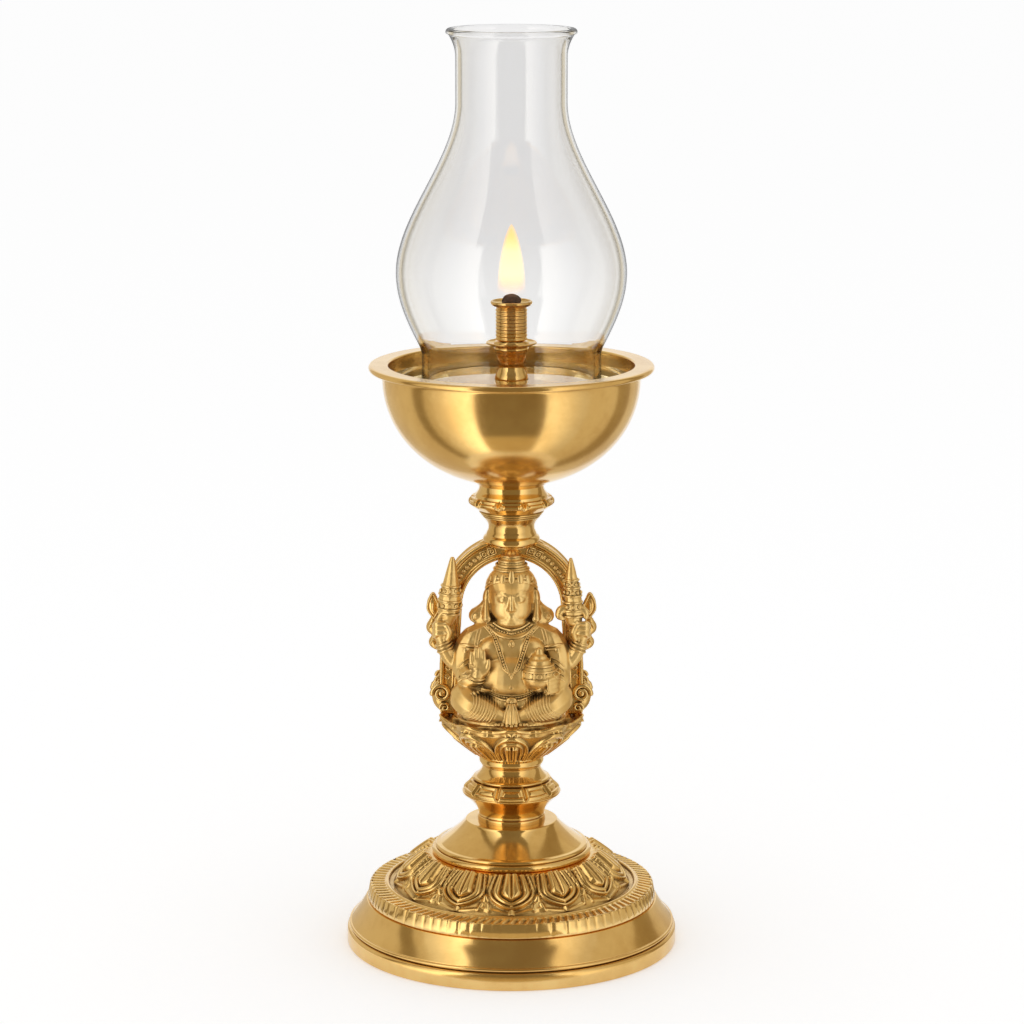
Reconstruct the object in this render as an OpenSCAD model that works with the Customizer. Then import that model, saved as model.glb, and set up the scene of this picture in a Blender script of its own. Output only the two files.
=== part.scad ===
// Akhand diya: a standing oil lamp. A brass foot, dome and cone carry a stem, a lotus seat with a
// seated four-armed figure under an arch, a second stem and an oil bowl. In the bowl stand a wick
// burner that screws up and down and a glass chimney that lifts off.
// Millimetres, +Z up, origin at the centre of the foot's underside, the figure faces -Y.

/* [Overall] */
// Height of the whole lamp with its chimney
lamp_h = 336; // [320:0.5:390]

/* [Foot] */
// Radius of the foot at the table
foot_r = 61; // [57:0.5:66]
// Radius of the foot's upper edge, under the dome
foot_top_r = 53.4; // [51:0.2:55]
// Height of the foot
foot_h = 17; // [14:0.5:22]
// Height of the plain band below the foot's groove
foot_band_h = 6; // [4:0.5:8]
// Width and depth of the groove
foot_groove = 1.1; // [0.5:0.1:2]
// Wall of the hollow foot
foot_wall = 3; // [2:0.25:4]
// Width of the shelf inside the foot's upper edge
shelf_w = 9.4; // [8:0.2:11]

/* [Petal dome] */
// Radius of the reeded band round the dome
band_r = 52.6; // [50:0.2:54]
// Height of the reeded band
band_h = 5.2; // [4.6:0.2:8]
// Depth of the reeds
reed_depth = 0.5; // [0.2:0.1:0.8]
// Radius at which the petals' tips lie
petal_foot_r = 47.4; // [46:0.2:49]
// Radius of the dome's flat top
dome_top_r = 30; // [28:0.5:33]
// Height of the petal slope
dome_h = 11.3; // [8:0.2:16]
// How far the slope bulges outwards
dome_bulge = 1.2; // [0:0.1:2]
// Wall of the hollow dome
dome_wall = 3; // [2:0.25:4]
// Number of petals on the dome
dome_petals = 15; // [12:1:20]
// Height of the petals above the slope
dome_relief = 1.7; // [0.5:0.1:2.2]

/* [Base cone] */
// Radius of the ring round the cone's foot
cone_ring_r = 29.4; // [27:0.2:31]
// Height of the ring
cone_ring_h = 3; // [2:0.2:4]
// Height of the cone up to its collar
cone_h = 11.5; // [9:0.5:16]
// Radius of the cone's shoulder
cone_top_r = 17; // [15:0.2:20]
// Radius of the collar that carries the stem
collar_r = 12.2; // [10:0.1:14]
// Height of the collar
collar_h = 3; // [2:0.25:6]

/* [Lower stem] */
// Height of the straight foot of the stem
lower_foot_h = 1.5; // [0.5:0.25:4]
// Height of the flare up to the lip
lower_flare_h = 7; // [5:0.25:10]
// Radius of the lip
lower_lip_r = 18.5; // [15:0.1:20]
// Height of the lip
lower_lip_h = 2; // [1:0.25:4]
// Height of the taper above the lip
lower_taper_h = 8.5; // [6:0.25:12]
// Radius of the neck above the taper
lower_neck_r = 10.6; // [8:0.1:12]
// Radius of the ring under the lotus
lower_ring_r = 11.8; // [9:0.1:12.6]
// Height of that ring
lower_ring_h = 4; // [3:0.25:6]

/* [Lotus seat] */
// Height of the lotus seat
lotus_h = 15.5; // [14:0.5:20]
// Radius of the lotus at its bottom
lotus_base_r = 13; // [12.8:0.2:16]
// Radius of the lotus at the petals' tips
lotus_r = 27; // [26.4:0.2:30]
// Number of petals
lotus_petals = 12; // [8:4:16]
// Depth of the furrows between the petals
lotus_relief = 1.9; // [0.5:0.1:2.5]

/* [Arch and figure] */
// Height of the arch from the lotus to the upper stem
arch_h = 63; // [58:0.5:70]
// Outer radius of the arch
arch_r = 25.2; // [24.4:0.1:26]
// Width of the arch's band
arch_band = 7; // [5:0.1:7.6]
// How much of the arch's crown is cut flat for the upper stem
arch_flat = 2.7; // [1.5:0.1:3.2]
// Thickness of the arch
arch_t = 8; // [7:0.25:10]
// How far the arch's front face lies in front of the lamp's axis
arch_front = 3; // [2.8:0.1:3.6]
// How far the band's rims stand proud
arch_rim = 0.6; // [0.3:0.1:0.8]
// Radius of the volutes at the arch's feet
volute_r = 4.4; // [3.5:0.1:5]
// Gap between the figure's crown and the upper stem
crown_gap = 0.7; // [0.4:0.1:2]

/* [Upper stem] */
// Radius of the ring on the arch
upper_ring_r = 10.7; // [9:0.1:12]
// Height of that ring
upper_ring_h = 4.5; // [3:0.25:6]
// Radius of the neck above the ring
upper_neck_r = 8.7; // [7:0.1:10]
// Height of the neck
upper_neck_h = 3; // [1:0.25:5]
// Height of the flare up to the lip
upper_flare_h = 8.5; // [6:0.25:12]
// Radius of the lip
upper_lip_r = 15.6; // [12:0.1:18]
// Height of the lip
upper_lip_h = 2; // [1:0.25:4]
// Height of the taper up to the bowl
upper_taper_h = 4.5; // [3:0.25:7]
// Radius of the stem's top, under the bowl
upper_top_r = 12.1; // [10:0.1:14]

/* [Oil bowl] */
// Outer radius of the bowl below its rim
bowl_r = 46.6; // [45.8:0.2:49]
// Outer depth of the bowl below its rim
bowl_depth = 40; // [38:0.5:44]
// Exponent of the bowl's round profile
bowl_round = 2.1; // [2:0.05:2.4]
// Wall of the bowl
bowl_wall = 2.2; // [1.5:0.1:2.6]
// Thickness of the bowl's floor
bowl_floor = 2.5; // [2:0.1:4]
// Height of the rim above the bowl's widest line
rim_h = 4; // [3:0.25:6]
// Outer radius of the rim
rim_r = 51.6; // [50:0.2:56]
// Thickness of the rim's edge
rim_t = 2.2; // [1.5:0.1:2.8]
// Height of the chimney's ledge above the bowl's underside
ledge_h = 14; // [13:0.25:15]
// How far the ledge reaches in past the chimney's inner wall
ledge_in = 1.3; // [0.5:0.1:3]
// Width of the notches that let oil pass the ledge
notch_w = 6; // [3:0.5:9]

/* [Burner] */
// Radius of the pillar's foot
pillar_foot_r = 9; // [8:0.2:12]
// Height of the pillar's foot
pillar_foot_h = 3; // [2:0.25:5]
// Radius of the pillar below the oil
pillar_r = 5.8; // [5.4:0.1:7]
// Height of the pillar above the bowl's floor
pillar_h = 47.2; // [46:0.2:52]
// Height of the waisted top of the pillar
spool_h = 12.2; // [9:0.2:14]
// Radius of the pillar's waist
waist_r = 4.6; // [4.4:0.1:5.4]
// Radius of the pillar's head
head_r = 6; // [5.7:0.1:7]
// Radius of the oil inlets
inlet_r = 1.6; // [1:0.1:2]
// Thickness of the seal under the pillar
seal_t = 1; // [0.5:0.1:2]
// Radius of the drip collar's edge
drip_r = 9.2; // [8:0.1:11]
// Height of the drip collar
drip_h = 2.3; // [1.8:0.1:3]
// Length of the tube's threaded shank
shank_l = 10.5; // [8:0.25:12]
// Radius of the shank
shank_r = 3.55; // [3.4:0.05:3.6]
// Radius of the tube's plain neck in the drip collar
neck_r = 3.9; // [3.75:0.05:4.1]
// Height of the ridged grip
grip_h = 11.3; // [9:0.25:14]
// Radius of the grip's ridges
grip_r = 5.65; // [5.2:0.05:6.2]
// Number of ridges
grip_ridges = 7; // [5:1:9]
// Depth of the grooves between the ridges
grip_groove = 0.45; // [0.2:0.05:0.6]
// Radius of the tube's mouth flange
mouth_r = 7.5; // [6.8:0.1:9]
// Height of the mouth flange
mouth_h = 2.7; // [2.4:0.1:4]
// Radius of the wick
wick_r = 2.4; // [2:0.05:2.45]
// Radius of the charred wick head
char_r = 3.5; // [3:0.1:4.2]
// How far the wick head stands above the mouth
char_h = 2.4; // [1:0.1:5]
// Length of wick below the tube's mouth
wick_l = 50; // [46:0.5:50.4]

/* [Chimney] */
// Outer radius of the chimney's foot
chimney_r = 32.2; // [31.6:0.1:32.6]
// Wall of the glass
glass_t = 1.9; // [1.4:0.1:2.4]
// Height of the straight foot
chimney_foot_h = 35; // [31:0.5:42]
// Height of the swell up to the belly
chimney_swell_h = 28; // [22:0.5:34]
// Outer radius of the belly
belly_r = 41.4; // [37:0.2:44]
// Outer radius of the neck
chimney_neck_r = 19.9; // [17:0.1:23]
// Height of the neck
chimney_neck_h = 16; // [10:0.5:24]
// Height of the flare at the top
chimney_flare_h = 8; // [5:0.25:12]
// Outer radius of the rolled lip
lip_r = 23.1; // [20:0.1:26]
// Thickness of the rolled lip
lip_t = 2.6; // [2:0.1:3.2]

/* [Fasteners] */
// Radius of the tie rod
rod_r = 3; // [2.5:0.1:3.5]
// Height of the tie nut
nut_h = 5; // [4:0.25:7]
// Width of the tie nut across its flats
nut_w = 10; // [9:0.25:13]
// Radius of the tie washer
washer_r = 9; // [8:0.25:14]
// Thickness of the tie washer
washer_t = 1.6; // [1:0.1:3]
// How far the rod reaches into the lotus
rod_grip = 10; // [7:0.5:11]
// How far the rod shows below its nut
rod_tail = 2.5; // [1:0.5:5]
// Radius of the stud that holds the bowl
stud_r = 2; // [1.8:0.1:2.2]
// How far the stud reaches into the pillar
stud_grip = 7; // [5:0.5:9]
// Radius of the foot's screws
screw_r = 2; // [1.5:0.1:2.4]
// Length of screw in the dome
screw_grip = 3.6; // [2.5:0.1:4]
// Number of screws in the foot
screws = 4; // [3:1:6]
// Radius of the locating pins
pin_r = 1.5; // [1.2:0.1:1.8]
// Length of a pin in each of the two pieces that it locates
pin_grip = 4; // [3:0.25:5]
// Distance of the figure's pins from the middle plane
figure_pin_x = 7; // [5.5:0.5:9]

/* [Clearances] */
// Radial gap of threads, pins and running fits
fit_gap = 0.05; // [0.03:0.01:0.08]
// Radial gap of clearance holes and loose pieces
loose_gap = 0.3; // [0.25:0.05:0.4]

/* [Hidden] */
$fn = 96;
brass = "#c8963e";
brass_cast = "#b98a3a";
steel = "#9a9ea3";

// Heights at which the pieces stand on each other
z_dome = foot_h;
z_slope = z_dome + band_h;
z_cone = z_slope + dome_h;
z_collar = z_cone + cone_h;
z_lower = z_collar + collar_h;
z_lower_lip = z_lower + lower_foot_h + lower_flare_h;
z_lower_ring = z_lower_lip + lower_lip_h + lower_taper_h;
z_lotus = z_lower_ring + lower_ring_h;
z_seat = z_lotus + lotus_h;
z_upper = z_seat + arch_h;
z_upper_flare = z_upper + upper_ring_h + upper_neck_h;
z_upper_lip = z_upper_flare + upper_flare_h;
z_bowl = z_upper_lip + upper_lip_h + upper_taper_h;
z_widest = z_bowl + bowl_depth;
z_rim = z_widest + rim_h;
z_ledge = z_bowl + ledge_h;
z_seal = z_bowl + bowl_floor;
z_pillar = z_seal + seal_t;
z_head = z_pillar + pillar_h;
z_grip = z_head + drip_h;
z_mouth = z_grip + grip_h;
z_mouth_top = z_mouth + mouth_h;
z_flare_top = lamp_h - 0.8 * lip_t;
chimney_shoulder_h = z_flare_top - z_ledge - chimney_foot_h - chimney_swell_h - chimney_neck_h
    - chimney_flare_h;

// Screws in the middle of the shelf's flat, each with a spot face for its pan head
shelf_r = foot_top_r - shelf_w;
screw_circle_r = shelf_r + (shelf_w - foot_wall) / 2;
pan_r = 1.9 * screw_r;
pan_h = 1.2 * screw_r;
spot_face = 0.4;
z_pan_seat = foot_h - foot_wall + spot_face;

// Arch and figure
arch_z = z_upper + arch_flat - arch_r;
arch_in_r = arch_r - arch_band;
arch_mid_y = arch_t / 2 - arch_front;
leg_top_x = arch_in_r;
leg_in_x = arch_in_r + 2.3;
leg_out_x = arch_r + 0.8;
volute_x = (leg_in_x + leg_out_x) / 2 + 2;
arch_pin_x = (leg_in_x + leg_out_x) / 2 + 0.6;
arch_foot_h = 5;
figure_w = leg_in_x / 20.5;
figure_d = lotus_r / 27;
figure_tall = (arch_h - crown_gap) / 62.3;
figure_pin_y = -4;

// Burner and wick
tube_bore_r = wick_r + loose_gap;
thread_bore_r = shank_r + fit_gap;
bead_r = neck_r + 0.25;
bead_h = 0.5;
bead_room = 1.2;
z_inlet = z_pillar + 13;
z_wick_bore = z_inlet - 2 * inlet_r;
wick_end_z = z_mouth - wick_l;
char_under = 0.4;
dish_z = z_mouth + 0.6;
dish_r = mouth_r - 1;
char_z = dish_z + char_under + (char_r - tube_bore_r) * (z_mouth_top - dish_z) / (dish_r - tube_bore_r);

function smooth(t) = t * t * (3 - 2 * t);
function mix(a, b, t) = a + (b - a) * t;
function arc(x, z, r, from, to, steps) =
    [for (i = [0:steps]) let (a = mix(from, to, i / steps)) [x + r * cos(a), z + r * sin(a)]];
// A flare whose slope grows from upright to its steepest, between two radii
function flare(r1, z1, r2, z2, steps) =
    [for (i = [0:steps]) let (t = i / steps) [mix(r1, r2, 1 - cos(90 * t)), mix(z1, z2, t)]];
// A curve of upright ends between two radii
function ogee(r1, z1, r2, z2, steps) =
    [for (i = [0:steps]) let (t = i / steps) [mix(r1, r2, smooth(t)), mix(z1, z2, t)]];
// A hollow curve that draws in fast and ends upright, between two radii
function throat(r1, z1, r2, z2, steps) =
    [for (i = [0:steps]) let (t = i / steps) [mix(r1, r2, sin(90 * t)), mix(z1, z2, t)]];

// A piece turned on the lamp's axis from (radius, height) points
module turned(points) {
    rotate_extrude() polygon(points);
}

// An upright rod between two heights
module rod(r, z1, z2) {
    translate([0, 0, z1]) cylinder(r = r, h = z2 - z1);
}

// A solid skinned over rings of points. A closed one runs from its last ring back to its first,
// the other kind has a flat cap at each end.
module ring_solid(rings, closed) {
    count = len(rings);
    side = len(rings[0]);
    points = [for (ring = rings) each ring];
    last = closed ? count - 1 : count - 2;
    skin = [for (i = [0:last], j = [0:side - 1])
        let (k = (j + 1) % side, a = i * side, b = ((i + 1) % count) * side)
        each [[a + j, b + j, b + k], [a + j, b + k, a + k]]];
    bottom = [for (j = [1:side - 2]) [0, j, j + 1]];
    top_ring = (count - 1) * side;
    top = [for (j = [1:side - 2]) [top_ring, top_ring + j + 1, top_ring + j]];
    polyhedron(points, closed ? skin : concat(skin, bottom, top));
}

// Half-width of a petal as a share of its sector, from its tip at 0 to its root at 1
function petal_half(s) = 0.25 + 0.7 * sin(90 * min(1, 1.6 * s));
// Height of a petal's rounded face as a share, across its sector from -1 to 1
function petal_face(across, s) = sqrt(max(0, 1 - pow(across / petal_half(s), 2)));
// Position across a petal's sector, from -1 to 1, with one petal at the front
function across(angle, petals) =
    let (turns = (angle + 90) * petals / 360) 2 * (turns - floor(turns + 0.5));

module base_foot() {
    groove_z = foot_band_h + foot_groove;
    color(brass) difference() {
        turned(concat(
            [[foot_r - foot_wall, 0], [foot_r - 0.5, 0], [foot_r, 0.5], [foot_r - 0.4, foot_band_h],
             [foot_r - 0.4 - foot_groove, foot_band_h + foot_groove / 2], [foot_r - 0.8, groove_z]],
            ogee(foot_r - 1, groove_z + 0.3, foot_top_r, foot_h, 8),
            [[shelf_r, foot_h], [shelf_r, foot_h - foot_wall],
             [foot_top_r - foot_wall, foot_h - foot_wall], [foot_r - 1.5 * foot_wall, foot_band_h]]));
        for (i = [0:screws - 1]) rotate(360 * (i + 0.5) / screws)
            translate([screw_circle_r, 0, 0]) {
                rod(screw_r + loose_gap, 0, foot_h + 1);
                rod(pan_r + loose_gap, 0, z_pan_seat);
            }
    }
}

module petal_dome() {
    side = dome_petals * 8;
    slope_steps = 9;
    function lap(r, z) = [for (j = [0:side - 1]) let (a = 360 * j / side) [r * cos(a), r * sin(a), z]];
    function reeds(z) = [for (j = [0:side - 1])
        let (a = 360 * j / side, r = band_r - (j % 2) * reed_depth) [r * cos(a), r * sin(a), z]];
    function slope(s) = [for (j = [0:side - 1])
        let (a = 360 * j / side,
             lift = dome_relief * petal_face(across(a, dome_petals), s) * sin(180 * mix(0.08, 0.85, s)),
             bulge = lift + dome_bulge * sin(180 * s),
             r = mix(petal_foot_r, dome_top_r, s) + 0.5 * bulge)
        [r * cos(a), r * sin(a), mix(z_slope, z_cone, s) + (s < 1 ? 0.85 * bulge : 0)]];
    hole_r = rod_r + loose_gap;
    color(brass_cast) difference() {
        ring_solid(concat(
            [lap(band_r - reed_depth, z_dome), reeds(z_dome + 0.5), reeds(z_slope - 0.7),
             lap(band_r - 1.2, z_slope)],
            [for (i = [0:slope_steps]) slope(i / slope_steps)],
            [lap(hole_r, z_cone), lap(hole_r, z_cone - dome_wall),
             lap(dome_top_r - 2, z_cone - dome_wall), lap(shelf_r, z_dome + 0.5), lap(shelf_r, z_dome)]),
            true);
        for (i = [0:screws - 1]) rotate(360 * (i + 0.5) / screws)
            translate([screw_circle_r, 0, 0])
                rod(screw_r + fit_gap, z_dome - 1, z_dome + screw_grip + loose_gap);
    }
}

module foot_screws() {
    z_pan = z_pan_seat - pan_h;
    color(steel) for (i = [0:screws - 1]) rotate(360 * (i + 0.5) / screws)
        translate([screw_circle_r, 0, 0]) difference() {
            union() {
                rod(screw_r, z_pan, z_dome + screw_grip);
                rod(pan_r, z_pan, z_pan + pan_h);
            }
            translate([-pan_r, -0.3 * screw_r, z_pan - 1])
                cube([2 * pan_r, 0.6 * screw_r, 1 + 0.5 * pan_h]);
        }
}

module base_cone() {
    hole_r = rod_r + loose_gap;
    bead = cone_ring_h / 2;
    color(brass) turned(concat(
        [[hole_r, z_cone]],
        arc(cone_ring_r - bead, z_cone + bead, bead, -90, 90, 10),
        flare(cone_ring_r - 1.2 * bead, z_cone + 1.9 * bead, cone_top_r + 1, z_collar - 1.6, 8),
        arc(cone_top_r - 0.4, z_collar - 1.6, 1.4, 0, 90, 6),
        [[collar_r, z_collar], [collar_r, z_lower], [hole_r, z_lower]]));
}

module tie_rod() {
    color(steel)
        rod(rod_r, z_cone - dome_wall - washer_t - nut_h - rod_tail, z_lotus + rod_grip);
}

module tie_washer() {
    z = z_cone - dome_wall - washer_t;
    color(steel) difference() {
        rod(washer_r, z, z + washer_t);
        rod(rod_r + loose_gap, z - 1, z + washer_t + 1);
    }
}

module tie_nut() {
    z = z_cone - dome_wall - washer_t - nut_h;
    color(steel) difference() {
        translate([0, 0, z]) cylinder(r = nut_w / 2 / cos(30), h = nut_h, $fn = 6);
        rod(rod_r + fit_gap, z - 1, z + nut_h + 1);
    }
}

module lower_stem() {
    hole_r = rod_r + loose_gap;
    lip = lower_lip_h / 2;
    ring = lower_ring_h / 2;
    color(brass) turned(concat(
        [[hole_r, z_lower], [collar_r, z_lower]],
        flare(collar_r, z_lower + lower_foot_h, lower_lip_r - 0.4, z_lower_lip, 8),
        arc(lower_lip_r - lip, z_lower_lip + lip, lip, -50, 70, 8),
        throat(lower_lip_r - 1.3 * lip, z_lower_lip + lower_lip_h, lower_neck_r, z_lower_ring, 10),
        arc(lower_ring_r - 0.8 * ring, z_lower_ring + ring, 0.8 * ring, -70, 70, 8),
        [[lower_ring_r - 0.8 * ring, z_lotus], [hole_r, z_lotus]]));
}

module lotus_seat() {
    side = lotus_petals * 8;
    cup_steps = 9;
    function lap(r, z) = [for (j = [0:side - 1]) let (a = 360 * j / side) [r * cos(a), r * sin(a), z]];
    function cup(t) = [for (j = [0:side - 1])
        let (a = 360 * j / side,
             furrow = lotus_relief * (1 - petal_face(across(a, lotus_petals), 1 - 0.75 * t)),
             r = mix(lotus_base_r, lotus_r, pow(sin(90 * t), 0.85)) - furrow * sin(180 * mix(0.08, 0.7, t)))
        [r * cos(a), r * sin(a), mix(z_lotus, z_seat, t)]];
    color(brass_cast) difference() {
        ring_solid([for (i = [0:cup_steps]) cup(i / cup_steps)], false);
        rod(rod_r + fit_gap, z_lotus - 1, z_lotus + rod_grip + loose_gap);
        for (side_x = [-1, 1]) {
            translate([side_x * figure_pin_x, figure_pin_y, 0])
                rod(pin_r + fit_gap, z_seat - pin_grip - loose_gap, z_seat + 1);
            translate([side_x * arch_pin_x, arch_mid_y, 0])
                rod(pin_r + fit_gap, z_seat - pin_grip - loose_gap, z_seat + 1);
        }
    }
}

// A limb: a hull along balls given as [x, y, z, radius]
module limb(balls) {
    for (i = [0:len(balls) - 2]) hull() for (k = [i, i + 1])
        translate([balls[k][0], balls[k][1], balls[k][2]]) sphere(r = balls[k][3], $fn = 12);
}

// A rounded mass with its own half-width, half-depth and half-height
module mass(x, y, z, size) {
    translate([x, y, z]) scale(size) sphere(r = 1, $fn = 18);
}

// The figure's masses, from the arch's front plane and the seat's top
module figure_body() {
    mass(0, -2, 43.5, [7.8, 7, 8.8]);
    limb([[0, -1.5, 38, 5], [0, -1, 30, 6]]);
    mass(0, -3, 27, [13, 8, 8.5]);
    mass(0, -5.5, 15.5, [12.4, 10, 10]);
    mass(0, -1, 7, [14, 9, 7]);
    for (s = [-1, 1]) {
        limb([[s * 8.5, -1.4, 45, 1.4], [s * 8.5, -2.2, 41, 1.2], [s * 8.4, -2.6, 36.5, 1.5]]);
        limb([[s * 6, 0.5, 42, 3], [s * 11.4, 0.6, 38, 2.7]]);
        limb([[s * 8, -2.5, 31, 5.6], [s * 13.2, -2.5, 30, 5.6], [s * 15.2, -5, 18, 4.5]]);
        limb([[s * 13, -2.8, 23, 4], [s * 19, -4.8, 20.5, 3.4], [s * 24.6, -4.6, 27.5, 2.4],
              [s * 25, -4.6, 34, 2.9]]);
        limb([[s * 7, -2, 7, 6.4], [s * 15.5, -8, 6.9, 6.8], [s * 4, -14.2, 3.6, 3.5]]);
    }
    limb([[-15.2, -5, 18, 4.5], [-12, -11.5, 17.5, 3], [-11.3, -13, 25, 2.2]]);
    limb([[15.2, -5, 18, 4.5], [11.5, -11, 14.5, 3]]);
    mass(10, -12, 18, [6.4, 6.2, 6]);
    limb([[10, -12, 23, 3], [10, -12, 26.4, 0.9]]);
    limb([[0, -14.5, 7, 1.8], [-2.4, -16.2, 1.7, 1.5], [2.4, -16.2, 1.7, 1.5]]);
    limb([[-22.4, -4.4, 36.5, 2.2], [-22, -4.4, 42, 3.1], [-21.3, -4.4, 51, 2], [-20.9, -4.4, 58.3, 0.6]]);
    limb([[19.8, -4.4, 38, 1.7], [26, -4.4, 38, 1.7], [22, -4.4, 44, 2.6], [21.4, -4.4, 51, 1.9],
          [21, -4.4, 57.3, 0.6]]);
    translate([0, -2.2, 49]) cylinder(r1 = 7.6, r2 = 5.4, h = 5, $fn = 24);
    translate([0, -2.2, 54]) cylinder(r1 = 5, r2 = 2.8, h = 3, $fn = 24);
    translate([0, -2.2, 57]) cylinder(r1 = 2.2, r2 = 0.6, h = 5.3, $fn = 24);
    hull() for (s = [-1, 1]) translate([s * 9, -5.5, 0]) cylinder(r = 10, h = 1.2, $fn = 32);
}

module figure() {
    color(brass_cast) difference() {
        translate([0, -arch_front, z_seat]) scale([figure_w, figure_d, figure_tall]) figure_body();
        for (s = [-1, 1]) translate([s * figure_pin_x, figure_pin_y, z_seat - 1])
            cylinder(r = pin_r + loose_gap, h = pin_grip + 1 + loose_gap, $fn = 24);
    }
}

module figure_pins() {
    color(brass) for (s = [-1, 1]) translate([s * figure_pin_x, figure_pin_y, 0])
        rod(pin_r, z_seat - pin_grip, z_seat + pin_grip);
}

// A plate in the arch's plane, from its outline's (x, z) plane to its thickness
module arch_plate(grow) {
    translate([0, arch_t - arch_front + grow, 0]) rotate([90, 0, 0])
        linear_extrude(height = arch_t + 2 * grow) children();
}

module arch_ring(outer, inner) {
    intersection() {
        difference() {
            translate([0, arch_z]) circle(r = outer);
            translate([0, arch_z]) circle(r = inner);
        }
        translate([-2 * arch_r, arch_z]) square([4 * arch_r, z_upper - arch_z]);
    }
}

module arch() {
    leg_foot_z = z_seat + arch_foot_h + volute_r;
    leaf_z = arch_z - 0.5;
    leaf_r = 6.1;
    leaf_offset = 3.2;
    leaf_x = arch_r + 2.6;
    bud_z = arch_z - 8.6;
    bud_r = 3.1;
    color(brass_cast) difference() {
        union() {
            arch_plate(0) arch_ring(arch_r, arch_in_r);
            arch_plate(arch_rim) arch_ring(arch_r - 0.1, arch_r - 1.3);
            arch_plate(arch_rim) arch_ring(arch_in_r + 1.2, arch_in_r + 0.1);
            for (s = [-1, 1]) {
                arch_plate(0) polygon([[s * leg_top_x, arch_z + 0.1], [s * arch_r, arch_z + 0.1],
                    [s * leg_out_x, leg_foot_z], [s * leg_in_x, leg_foot_z]]);
                arch_plate(-0.5) polygon([[s * leg_in_x, z_seat], [s * leg_in_x, leg_foot_z + 0.5],
                    [s * (leg_out_x + 0.5), leg_foot_z + 0.5], [s * (leg_out_x + 0.5), z_seat]]);
                arch_plate(0.3) translate([s * volute_x, z_seat + arch_foot_h + 3]) circle(r = volute_r);
                arch_plate(-1) intersection() {
                    translate([s * (leaf_x - leaf_offset), leaf_z]) circle(r = leaf_r);
                    translate([s * (leaf_x + leaf_offset), leaf_z]) circle(r = leaf_r);
                }
                arch_plate(-1.3) translate([s * (leg_out_x + 2.2), bud_z]) circle(r = bud_r);
            }
        }
        rod(stud_r + fit_gap, z_upper - 10, z_upper + 1);
        for (s = [-1, 1]) translate([s * arch_pin_x, arch_mid_y, 0])
            rod(pin_r + fit_gap, z_seat - 1, z_seat + pin_grip + loose_gap);
    }
}

module arch_pins() {
    color(brass) for (s = [-1, 1]) translate([s * arch_pin_x, arch_mid_y, 0])
        rod(pin_r, z_seat - pin_grip, z_seat + pin_grip);
}

module upper_stem() {
    hole_r = stud_r + loose_gap;
    lip = upper_lip_h / 2;
    ring = upper_ring_h / 2;
    color(brass) turned(concat(
        [[hole_r, z_upper]],
        arc(upper_ring_r - 0.7 * ring, z_upper + 0.7 * ring, 0.7 * ring, -90, 60, 8),
        ogee(upper_neck_r + 0.6, z_upper + upper_ring_h, upper_neck_r, z_upper_flare, 4),
        flare(upper_neck_r, z_upper_flare, upper_lip_r - 0.4, z_upper_lip, 8),
        arc(upper_lip_r - lip, z_upper_lip + lip, lip, -50, 80, 8),
        throat(upper_lip_r - 1.2 * lip, z_upper_lip + upper_lip_h, upper_top_r, z_bowl, 6),
        [[hole_r, z_bowl]]));
}

module bowl_stud() {
    thread_in_arch = arch_band - arch_flat;
    color(steel) rod(stud_r, z_upper - thread_in_arch, z_pillar + stud_grip);
}

// Radius of the bowl's round profile, at a height above its lowest point
function bowl_curve(r, depth, height) =
    r * pow(max(0, 1 - pow(1 - height / depth, bowl_round)), 1 / bowl_round);

module oil_bowl() {
    hole_r = stud_r + loose_gap;
    flat_r = upper_top_r + 0.4;
    inner_r = bowl_r - bowl_wall;
    inner_depth = bowl_depth - bowl_floor;
    ledge_r = chimney_r - glass_t - ledge_in;
    flat_h = bowl_depth * (1 - pow(1 - pow(flat_r / bowl_r, bowl_round), 1 / bowl_round));
    under_ledge_h = inner_depth * (1 - pow(1 - pow(ledge_r / inner_r, bowl_round), 1 / bowl_round));
    floor_r = pillar_foot_r + 2;
    floor_h = inner_depth * (1 - pow(1 - pow(floor_r / inner_r, bowl_round), 1 / bowl_round));
    ledge_in_h = ledge_h - bowl_floor;
    steps = 16;
    edge = rim_t / 2;
    color(brass) difference() {
        turned(concat(
            [[hole_r, z_bowl], [flat_r, z_bowl]],
            [for (i = [1:steps]) let (h = flat_h + (bowl_depth - flat_h) * pow(i / steps, 1.6))
                [bowl_curve(bowl_r, bowl_depth, h), z_bowl + h]],
            [[bowl_r + 0.6, z_widest + 0.4 * rim_h]],
            arc(rim_r - edge, z_rim - edge, edge, -80, 90, 8),
            arc(inner_r + 0.5, z_rim - 1, 1, 90, 180, 4),
            [for (i = [0:steps - 1])
                let (h = ledge_in_h + (inner_depth - ledge_in_h) * pow(1 - i / (steps - 1), 1.3))
                [bowl_curve(inner_r, inner_depth, h), z_seal + h]],
            [[ledge_r, z_ledge]],
            [for (i = [0:8]) let (h = mix(under_ledge_h, floor_h, smooth(i / 8)))
                [bowl_curve(inner_r, inner_depth, h), z_seal + h]],
            [[floor_r, z_seal], [hole_r, z_seal]]));
        for (a = [45:90:315]) rotate(a)
            translate([ledge_r - 3, -notch_w / 2, z_seal + under_ledge_h])
                cube([3 + ledge_in + glass_t + 0.5, notch_w, ledge_in_h - under_ledge_h + 0.01]);
    }
}

module pillar_seal() {
    color("#3a3633") difference() {
        rod(pillar_foot_r, z_seal, z_pillar);
        rod(stud_r + loose_gap, z_seal - 1, z_pillar + 1);
    }
}

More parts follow.
